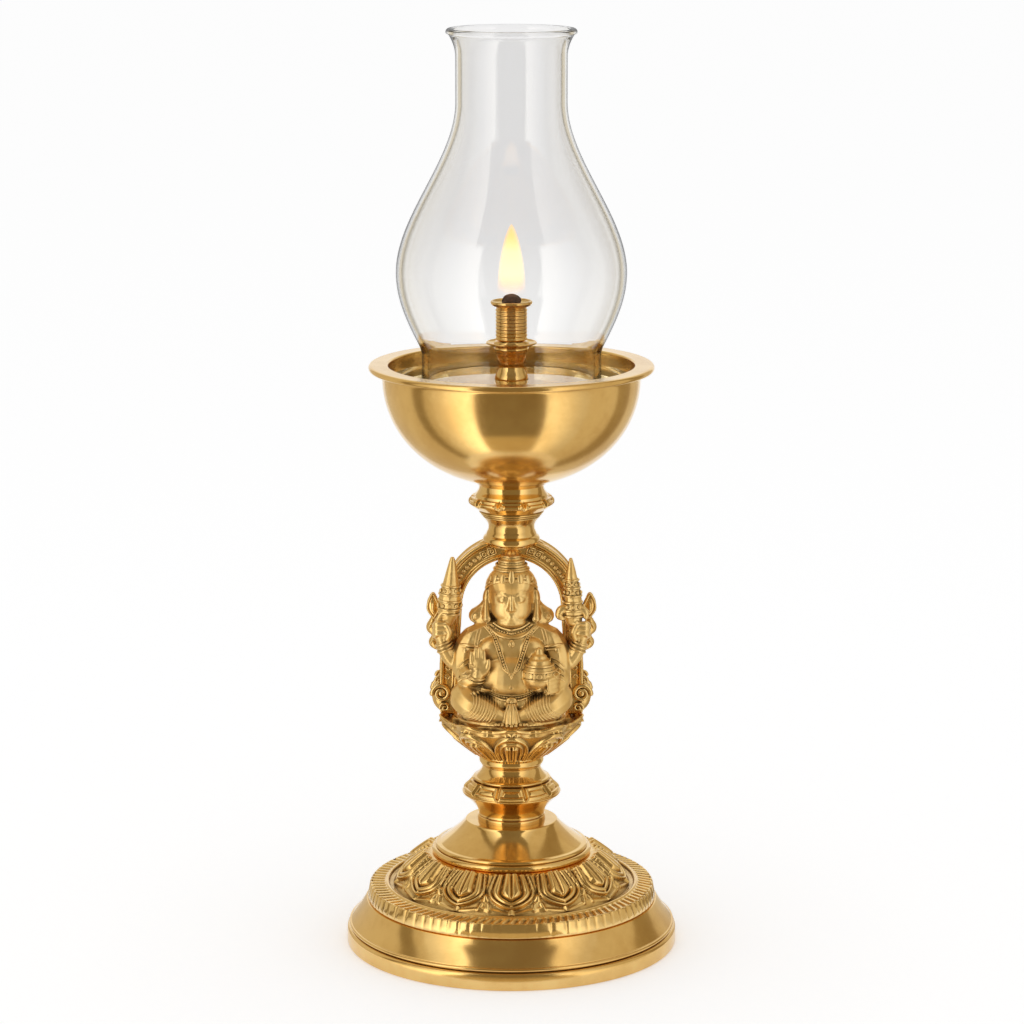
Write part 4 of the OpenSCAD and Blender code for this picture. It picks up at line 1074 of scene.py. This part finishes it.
bowl_outline += [(2.3, bowl_bottom + 2.5)]
oil_bowl = turned("oil_bowl_spun", bowl_outline, 192)
place_piece(oil_bowl, turned_brass("bowl_brass", 0.17), "turned_brass", "lamp", "oil_bowl")


# Pillar seal: a ring of oil-proof rubber sheet under the pillar.
# It is out of sight between the pillar's foot and the bowl's floor.
def seal_rubber(name):
    finish = new_finish(name)
    cloud = finish.noise(finish.place(), 700, 4)
    colour = finish.blend(cloud, (0.016, 0.015, 0.014), (0.03, 0.028, 0.026))
    sockets = {"Base Color": colour, "Roughness": cloud * 0.2 + 0.55}
    return finish.principled(sockets)


paint(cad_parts["pillar_seal"], seal_rubber("seal_rubber"))


# Burner pillar: a turned brass pillar with oil inlets low down and a waisted top.
# The stud holds it on the bowl's floor, and the wick tube screws into its head.
pillar_bottom, pillar_top = span("burner_pillar")
pillar_foot = [(3, 0), (8.8, 0), (9, 0.3), (9, 2.6), (8.6, 3), (5.9, 3.2), (5.8, 3.6)]
pillar_waist = sweep((6, -12), (4.6, -7), 0, 12)[1:] + sweep((4.6, -6.2), (5.9, -1.6), 0, 12)
pillar_head = [(6.15, -1.2), (6.15, -0.4), (5.9, 0), (3.6, 0)]
pillar_outline = above(pillar_bottom, pillar_foot)
pillar_outline += above(pillar_top, [(5.9, -13.2), (6.1, -12.4)] + pillar_waist + pillar_head)
pillar_outline += above(pillar_bottom, [(3.6, 12), (3, 12)])
burner_pillar = turned("burner_pillar_turned", pillar_outline, 96)
place_piece(burner_pillar, turned_brass("pillar_brass", 0.14), "turned_brass", "lamp", "burner_pillar")


# Oil: clear lamp oil, which fills the bowl to below its rim, inside the chimney and round it.
# It shows the brass under it and mirrors what is above it.
OIL_LEVEL = bowl_top - 5.4


def lamp_oil(name):
    finish = new_finish(name)
    ripple = finish.noise(finish.place(), 60, 2)
    colour = finish.blend(ripple, (0.97, 0.9, 0.68), (0.94, 0.85, 0.58))
    sockets = {"Base Color": colour, "Roughness": 0, "IOR": 1.46, "Transmission Weight": 1}
    return finish.principled(sockets)


oil_finish = lamp_oil("lamp_oil")
GLASS_FOOT = 32.2
GLASS_WALL = 1.9
ring_wall = [(radius - 0.08, height) for radius, height in inner_wall
             if height < OIL_LEVEL - 0.2 and radius > GLASS_FOOT + 0.6]
ring_outline = [(GLASS_FOOT + 0.1, ring_wall[0][1] + 0.1)] + ring_wall
ring_outline += [(ring_wall[-1][0] + 0.15, OIL_LEVEL), (GLASS_FOOT + 0.1, OIL_LEVEL)]
oil_ring = turned("oil_ring", ring_outline, 128)
place_piece(oil_ring, oil_finish, "glass", "lamp")
core_foot = ledge_height + 8
core_edge = GLASS_FOOT - GLASS_WALL - 0.1
core_outline = [(6.2, core_foot), (core_edge, core_foot), (core_edge, OIL_LEVEL), (6.2, OIL_LEVEL)]
oil_core = turned("oil_core", core_outline, 128)
place_piece(oil_core, oil_finish, "glass", "lamp")


# Drip collar: a thin turned brass saucer, with a turned-up edge.
# A rolled bead holds it on the wick tube, and it rises with it.
collar_bottom, collar_top = span("drip_collar")
collar_outline = [(4, 0), (5.9, 0), (7.4, 0.35), (8.6, 1)] + roll(8.85, 1.4, 0.34, -50, 150, 8)
collar_outline = above(collar_bottom, collar_outline + [(8.2, 1.25), (7, 0.95), (6.3, 0.95)])
collar_outline += above(collar_top, [(6.1, -0.35), (5.8, 0), (4, 0)])
drip_collar = turned("drip_collar_turned", collar_outline, 96)
place_piece(drip_collar, turned_brass("collar_brass", 0.13), "turned_brass", "drip_collar", "drip_collar")


# Wick tube: a turned brass tube with a ridged grip and a dished mouth.
# It screws into the pillar, so a turn of the grip raises or lowers the wick.
tube_bottom, tube_top = span("wick_tube")
GRIP_RIDGES = 9
grip_foot = tube_top - 14
grip_head = tube_top - 2.7
ridge_pitch = (grip_head - grip_foot) / GRIP_RIDGES
tube_outline = [(2.7, tube_bottom), (3.3, tube_bottom), (3.5, tube_bottom + 0.3), (3.5, collar_bottom + 0.2)]
tube_outline += [(3.8, collar_bottom + 0.5), (3.8, grip_foot - 0.2), (5.2, grip_foot)]
for step in range(GRIP_RIDGES):
    tube_outline += roll(5.25, grip_foot + (step + 0.5) * ridge_pitch, ridge_pitch * 0.42, -62, 62, 6)
tube_outline += above(grip_head, [(5.3, 0.2), (6, 0.7), (7.1, 1.2)])
tube_outline += above(tube_top, roll(7.15, -0.7, 0.42, -60, 0, 4) + roll(7.1, -0.45, 0.45, 0, 90, 4))
tube_outline += above(tube_top, sweep((6.7, -0.1), (2.75, -2.1), 1, 8) + [(2.7, -2.4)])
wick_tube = turned("wick_tube_turned", tube_outline, 96)
place_piece(wick_tube, turned_brass("tube_brass", 0.16), "turned_brass", "wick_tube", "wick_tube")


# Wick: a twisted cotton cord whose head has charred to a rounded crust.
# It stands in the oil and is pushed up through the tube by hand.
wick_bottom, wick_top = span("wick")
char_height = wick_top - 4.2
wick_outline = [(0, wick_bottom), (2.1, wick_bottom), (2.35, wick_bottom + 0.3), (2.35, char_height)]
wick_outline += above(char_height, [(2.4, 0.3), (3.2, 0.7), (3.45, 1.5), (3.3, 2.3), (2.8, 3.2)])
wick_outline += above(wick_top, [(1.9, -0.45), (0.9, -0.12), (0, 0)])
wick = turned("wick_twisted", wick_outline, 48)
only(wick)
bpy.ops.object.mode_set(mode="EDIT")
bpy.ops.mesh.select_all(action="SELECT")
bpy.ops.mesh.subdivide(number_cuts=2)
bpy.ops.object.mode_set(mode="OBJECT")
for point in wick.data.vertices:
    x, y, z = point.co / MM
    turn = math.atan2(y, x)
    strand = math.sin(5 * turn + 0.9 * z) * 0.07
    crust = 0.16 * math.sin(9 * turn + 2.1 * z) * math.sin(4.3 * z + 2 * turn) * ease(z - char_height)
    point.co.xy *= 1 + (strand + crust) * (0.45 if z > char_height else 0.3)


def wick_cotton(name):
    finish = new_finish(name)
    place = finish.place()
    height = finish.node("SeparateXYZ", {}, {0: place}, "Z")
    fuzz = finish.noise(place, 1500, 4, 0.7)
    clumps = finish.noise(place, 620, 3)
    char = finish.remap(height + (clumps - 0.5) * 0.0012, (char_height - 2.5) * MM, (char_height + 0.4) * MM)
    cotton = finish.blend(fuzz, (0.62, 0.52, 0.36), (0.82, 0.74, 0.58))
    crust = finish.blend(clumps, (0.022, 0.01, 0.007), (0.13, 0.05, 0.028))
    fibres = finish.grain(0.7, 0.25, fuzz + clumps)
    sockets = {"Base Color": finish.blend(char, cotton, crust), "Roughness": 0.9, "Normal": fibres}
    return finish.principled(sockets)


place_piece(wick, wick_cotton("wick_cotton"), "cotton", "wick", "wick")


# Flame: the lit wick's steady flame, in thin shells of glowing gas that brighten inwards.
# It stands on the wick's head and moves with it.
FLAME_HEIGHT = 26.3
FLAME_RADIUS = 5.1
FLAME_SHELLS = 3
FLAME_STEPS = 24
flame_foot = wick_top - 1.5
shells = []
for shell in range(FLAME_SHELLS):
    share = shell / (FLAME_SHELLS - 1)
    size = mix(1, 0.7, share)
    foot = flame_foot + 2.4 * share
    tall = mix(FLAME_HEIGHT, FLAME_HEIGHT * 0.8, share)
    outline = [(0, foot)]
    for step in range(1, FLAME_STEPS):
        rise = step / FLAME_STEPS
        width = (1 - rise * rise) ** 0.75 * min(1, math.sqrt(rise / 0.09))
        outline.append((FLAME_RADIUS * size * width, foot + tall * rise))
    outline.append((0, foot + tall))
    shells.append(turned("flame_shell", outline, 40))
    heat = shells[-1].data.attributes.new("heat", "FLOAT", "POINT")
    for point in heat.data:
        point.value = share
flame = join(shells)
flame.name = "flame"


def flame_glow(name):
    finish = new_finish(name)
    heat = finish.node("Attribute", {"attribute_name": "heat"}, {}, "Fac")
    height = finish.node("SeparateXYZ", {}, {0: finish.place()}, "Z")
    rise = finish.remap(height, flame_foot * MM, (wick_top + FLAME_HEIGHT - 2) * MM)
    colours = [(0, (0.9, 0.46, 0.22)), (0.25, (0.95, 0.63, 0.37)),
               (0.7, (0.95, 0.65, 0.32)), (1, (0.9, 0.47, 0.11))]
    edge = finish.node("ValToRGB", {"stops": colours}, {"Fac": rise})
    colour = finish.blend(finish.remap(heat, 0, 0.9), edge, (1, 1, 1))
    glow = finish.node("Emission", {}, {"Color": colour, "Strength": 2.1})
    clear = finish.node("BsdfTransparent", {}, {})
    body = finish.remap(rise, -0.04, 0.26) * finish.remap(heat, 0, 1, 0.3, 0.95)
    return finish.surface(finish.node("MixShader", {}, {0: body, 1: clear, 2: glow}))


place_piece(flame, flame_glow("flame_glow"), "cotton", "wick")
flame.visible_shadow = False
flame.visible_diffuse = False


# Chimney: a blown chimney of clear glass with a fire-polished lip.
# It stands loose on the bowl's ledge and lifts straight off.
glass_bottom, glass_top = span("chimney")
BELLY_RADIUS = 41.4
NECK_RADIUS = 19.9
LIP_RADIUS = 23.1
SWELL_FROM = 35
BELLY_AT = 63
NECK_FROM = 124
LIP_FROM = 140
LIP_HEIGHT = 8.8


def glass_profile(height):
    """The chimney's outer radius at this height above its foot."""
    if height < SWELL_FROM:
        return GLASS_FOOT
    if height < BELLY_AT:
        share = (height - SWELL_FROM) / (BELLY_AT - SWELL_FROM)
        return mix(GLASS_FOOT, BELLY_RADIUS, math.sin(math.pi / 2 * share))
    if height < NECK_FROM:
        return mix(BELLY_RADIUS, NECK_RADIUS, ease((height - BELLY_AT) / (NECK_FROM - BELLY_AT)))
    if height < LIP_FROM:
        return NECK_RADIUS
    return mix(NECK_RADIUS, LIP_RADIUS, ((height - LIP_FROM) / LIP_HEIGHT) ** 2)


glass_heights = [0.5, 12, 24, 34] + [SWELL_FROM + 1.5 * step for step in range(1, 60)]
glass_heights += [126, 132, 138] + [LIP_FROM + LIP_HEIGHT * step / 8 for step in range(8)]
glass_outer = [(glass_profile(height), glass_bottom + height) for height in glass_heights]
glass_inner = [(radius - GLASS_WALL, height) for radius, height in glass_outer]
lip = roll(LIP_RADIUS - 1, glass_top - 1.3, 1.25, -20, 200, 12)
glass_outline = glass_outer + lip + glass_inner[::-1]
glass_outline += roll(GLASS_FOOT - GLASS_WALL / 2, glass_bottom + 0.5, 0.49, 200, 340, 6)
chimney = turned("chimney_blown", glass_outline, 192)


def clear_glass(name):
    finish = new_finish(name)
    place = finish.place()
    streaks = finish.noise(place, 24, 2)
    height = finish.node("SeparateXYZ", {}, {0: place}, "Z")
    # The glass is tinted greyer from the belly up.
    greyer_from_belly_up = finish.remap(height, (glass_bottom + 46) * MM, (glass_bottom + 84) * MM)
    colour = finish.blend(streaks, (0.988, 0.988, 0.988), (0.972, 0.975, 0.978))
    colour = finish.blend(greyer_from_belly_up, colour, (0.905, 0.905, 0.908))
    sockets = {"Base Color": colour, "Roughness": 0, "IOR": 1.47, "Transmission Weight": 1}
    clear = finish.node("BsdfPrincipled", {}, sockets)
    # Painted shade: where the glass is seen edge-on, a near-black matt skin is mixed in, which draws a dark
    # outline along the chimney's edges.
    grazing = finish.node("LayerWeight", {}, {"Blend": 0.5}, "Facing")
    edge = finish.node("BsdfDiffuse", {}, {"Color": (0.05, 0.05, 0.048, 1)})
    painted_edge_shade = finish.remap(grazing, 0.7, 0.9, 0, 0.62)
    return finish.surface(finish.node("MixShader", {}, {0: painted_edge_shade, 1: clear, 2: edge}))


place_piece(chimney, clear_glass("clear_glass"), "glass", "chimney", "chimney")


# Studio: a white floor and room, tall soft lamps at both sides, grey walls, and dark card round the camera.
# Cards and lamps show in polished brass, and straight through the glass they are as white as the room.
def stage_glow(name, colour, first, last=None, bearings=(0, 1)):
    """Glows this strongly, or fades from the first strength to the last over two bearings, which are counted
    from the camera's side. It is plain white in a ray that no surface has mirrored."""
    finish = new_finish(name)
    strength = first
    if last is not None:
        x = finish.node("SeparateXYZ", {}, {0: finish.place()})
        turn = finish.node("Math", {"operation": "ARCTAN2"}, {0: x, 1: 0 - x.other("Y")})
        start, end = [math.radians(bearing) for bearing in bearings]
        if start < end < 0 or end < start:
            start, end, first, last = end, start, last, first
        strength = finish.remap(turn, start, end, first, last)
    mirrored = finish.node("Clamp", {}, {"Value": finish.node("LightPath", {}, {}, "Glossy Depth")})
    sockets = {"Color": finish.blend(mirrored, (1, 1, 1), colour), "Strength": mirrored * (strength - 1) + 1}
    return finish.surface(finish.node("Emission", {}, sockets))


def mirror_only(card, material):
    """Hides a card from the camera and from matt surfaces."""
    paint(card, material)
    for rays in ("camera", "shadow", "diffuse"):
        setattr(card, "visible_" + rays, False)


def studio_card(name, bearings, material, near=0.09, far=1.6, head=2.3, over=0.25, foot=0):
    """A card over a range of bearings: it lies along the floor, stands up and leans in overhead.
    Sizes are in m."""
    start, end = sorted(math.radians(bearing) for bearing in bearings)
    outline = above(foot, [(near, 0.0006), (far, 0.0006)])
    outline += above(head, [(far, 0), (over, 0.1), (over, 0.105), (far + 0.005, 0.005)])
    outline += above(foot, [(far + 0.005, 0.0002), (near, 0.0002)])
    card = trace(name, [(radius / MM, height / MM) for radius, height in outline])
    bpy.ops.mesh.spin(steps=24, angle=end - start, center=(0, 0, 0), axis=(0, 0, 1))
    bpy.ops.object.mode_set(mode="OBJECT")
    for point in card.data.vertices:
        x, y, z = point.co
        turn = abs(math.atan2(y, x)) + start - math.pi / 2
        radius = math.hypot(x, y)
        point.co = (radius * math.cos(turn), radius * math.sin(turn), z)
    mirror_only(card, material)


DARK_CARD = (0.95, 0.745, 0.42)
LAMP_WHITE = (0.9, 0.85, 0.76)
GREY_WALL = (0.95, 0.85, 0.655)
studio_card("camera_card", (-33, 31), stage_glow("camera_card", DARK_CARD, 0.27), 0.18)
bpy.ops.object.select_all(action="DESELECT")
bpy.ops.mesh.primitive_plane_add(size=0.2, location=(0, -0.18, 0.0003))
bpy.context.object.name = "front_floor"
mirror_only(bpy.context.object, stage_glow("front_floor", DARK_CARD, 0.6))
studio_card("camera_card_head", (-41, 39), stage_glow("camera_card_head", DARK_CARD, 0.24),
            1.52, 1.53, 2.2, 0.6, 1.15)
bpy.ops.object.select_all(action="DESELECT")
bpy.ops.mesh.primitive_circle_add(radius=0.75, fill_type="NGON", location=(0, -0.3, 2.28))
bpy.context.object.name = "ceiling"
mirror_only(bpy.context.object, stage_glow("ceiling", DARK_CARD, 0.27))
studio_card("left_lamp", (-33, -74), stage_glow("left_lamp", LAMP_WHITE, 2.3, 1, (-36, -72)))
studio_card("right_lamp", (31, 72), stage_glow("right_lamp", LAMP_WHITE, 1.58, 0.8, (34, 70)))
studio_card("left_flag", (-84, -97), stage_glow("left_flag", DARK_CARD, 0.3))
studio_card("right_flag", (108, 130), stage_glow("right_flag", DARK_CARD, 0.38))
for side, bearings in (("left", (-74, -84)), ("rear_left", (-97, -154)),
                       ("right", (72, 108)), ("rear_right", (130, 154))):
    studio_card(side + "_wall", bearings, stage_glow(side + "_wall", GREY_WALL, 0.72))

bpy.ops.object.select_all(action="DESELECT")
bpy.ops.mesh.primitive_plane_add(size=12, location=(0, 0, -0.0001))
floor = bpy.context.object
floor.name = "floor"
bpy.ops.object.transform_apply(location=True)


def white_floor_painted_shadow(name):
    finish = new_finish(name)
    matt = finish.node("BsdfDiffuse", {}, {"Color": (0.95, 0.95, 0.95, 1)})
    # Painted shadow: the floor's glow dims where the object hides the sky, which darkens it round the foot
    # beyond the real shadow on its matt part.
    open_sky_painted_shadow = finish.node("AmbientOcclusion", {"samples": 3}, {"Distance": 0.16}, "AO")
    strength = finish.seen() * finish.remap(open_sky_painted_shadow, 0.45, 0.97, 0.34, 0.505)
    glow = finish.node("Emission", {}, {"Color": (1, 1, 1, 1), "Strength": strength})
    return finish.surface(finish.node("AddShader", {}, {0: matt, 1: glow}))


paint(floor, white_floor_painted_shadow("white_floor_painted_shadow"))

bpy.ops.object.light_add(type="AREA", location=(0, -0.5, 1.7), rotation=(math.radians(16), 0, 0))
top_lamp = bpy.context.object
top_lamp.data.size = 1
top_lamp.data.energy = 1
top_lamp.visible_glossy = False

world = bpy.data.worlds.new("white_studio")
bpy.context.scene.world = world
room = Finish(world)
air = room.node("Background", {}, {"Color": (1, 1, 1, 1), "Strength": room.seen() * 0.5 + 0.5})
room.node("OutputWorld", {}, {"Surface": air})

light_paths = bpy.context.scene.cycles
light_paths.max_bounces = 24
light_paths.glossy_bounces = 12
light_paths.transmission_bounces = 24
light_paths.transparent_max_bounces = 24
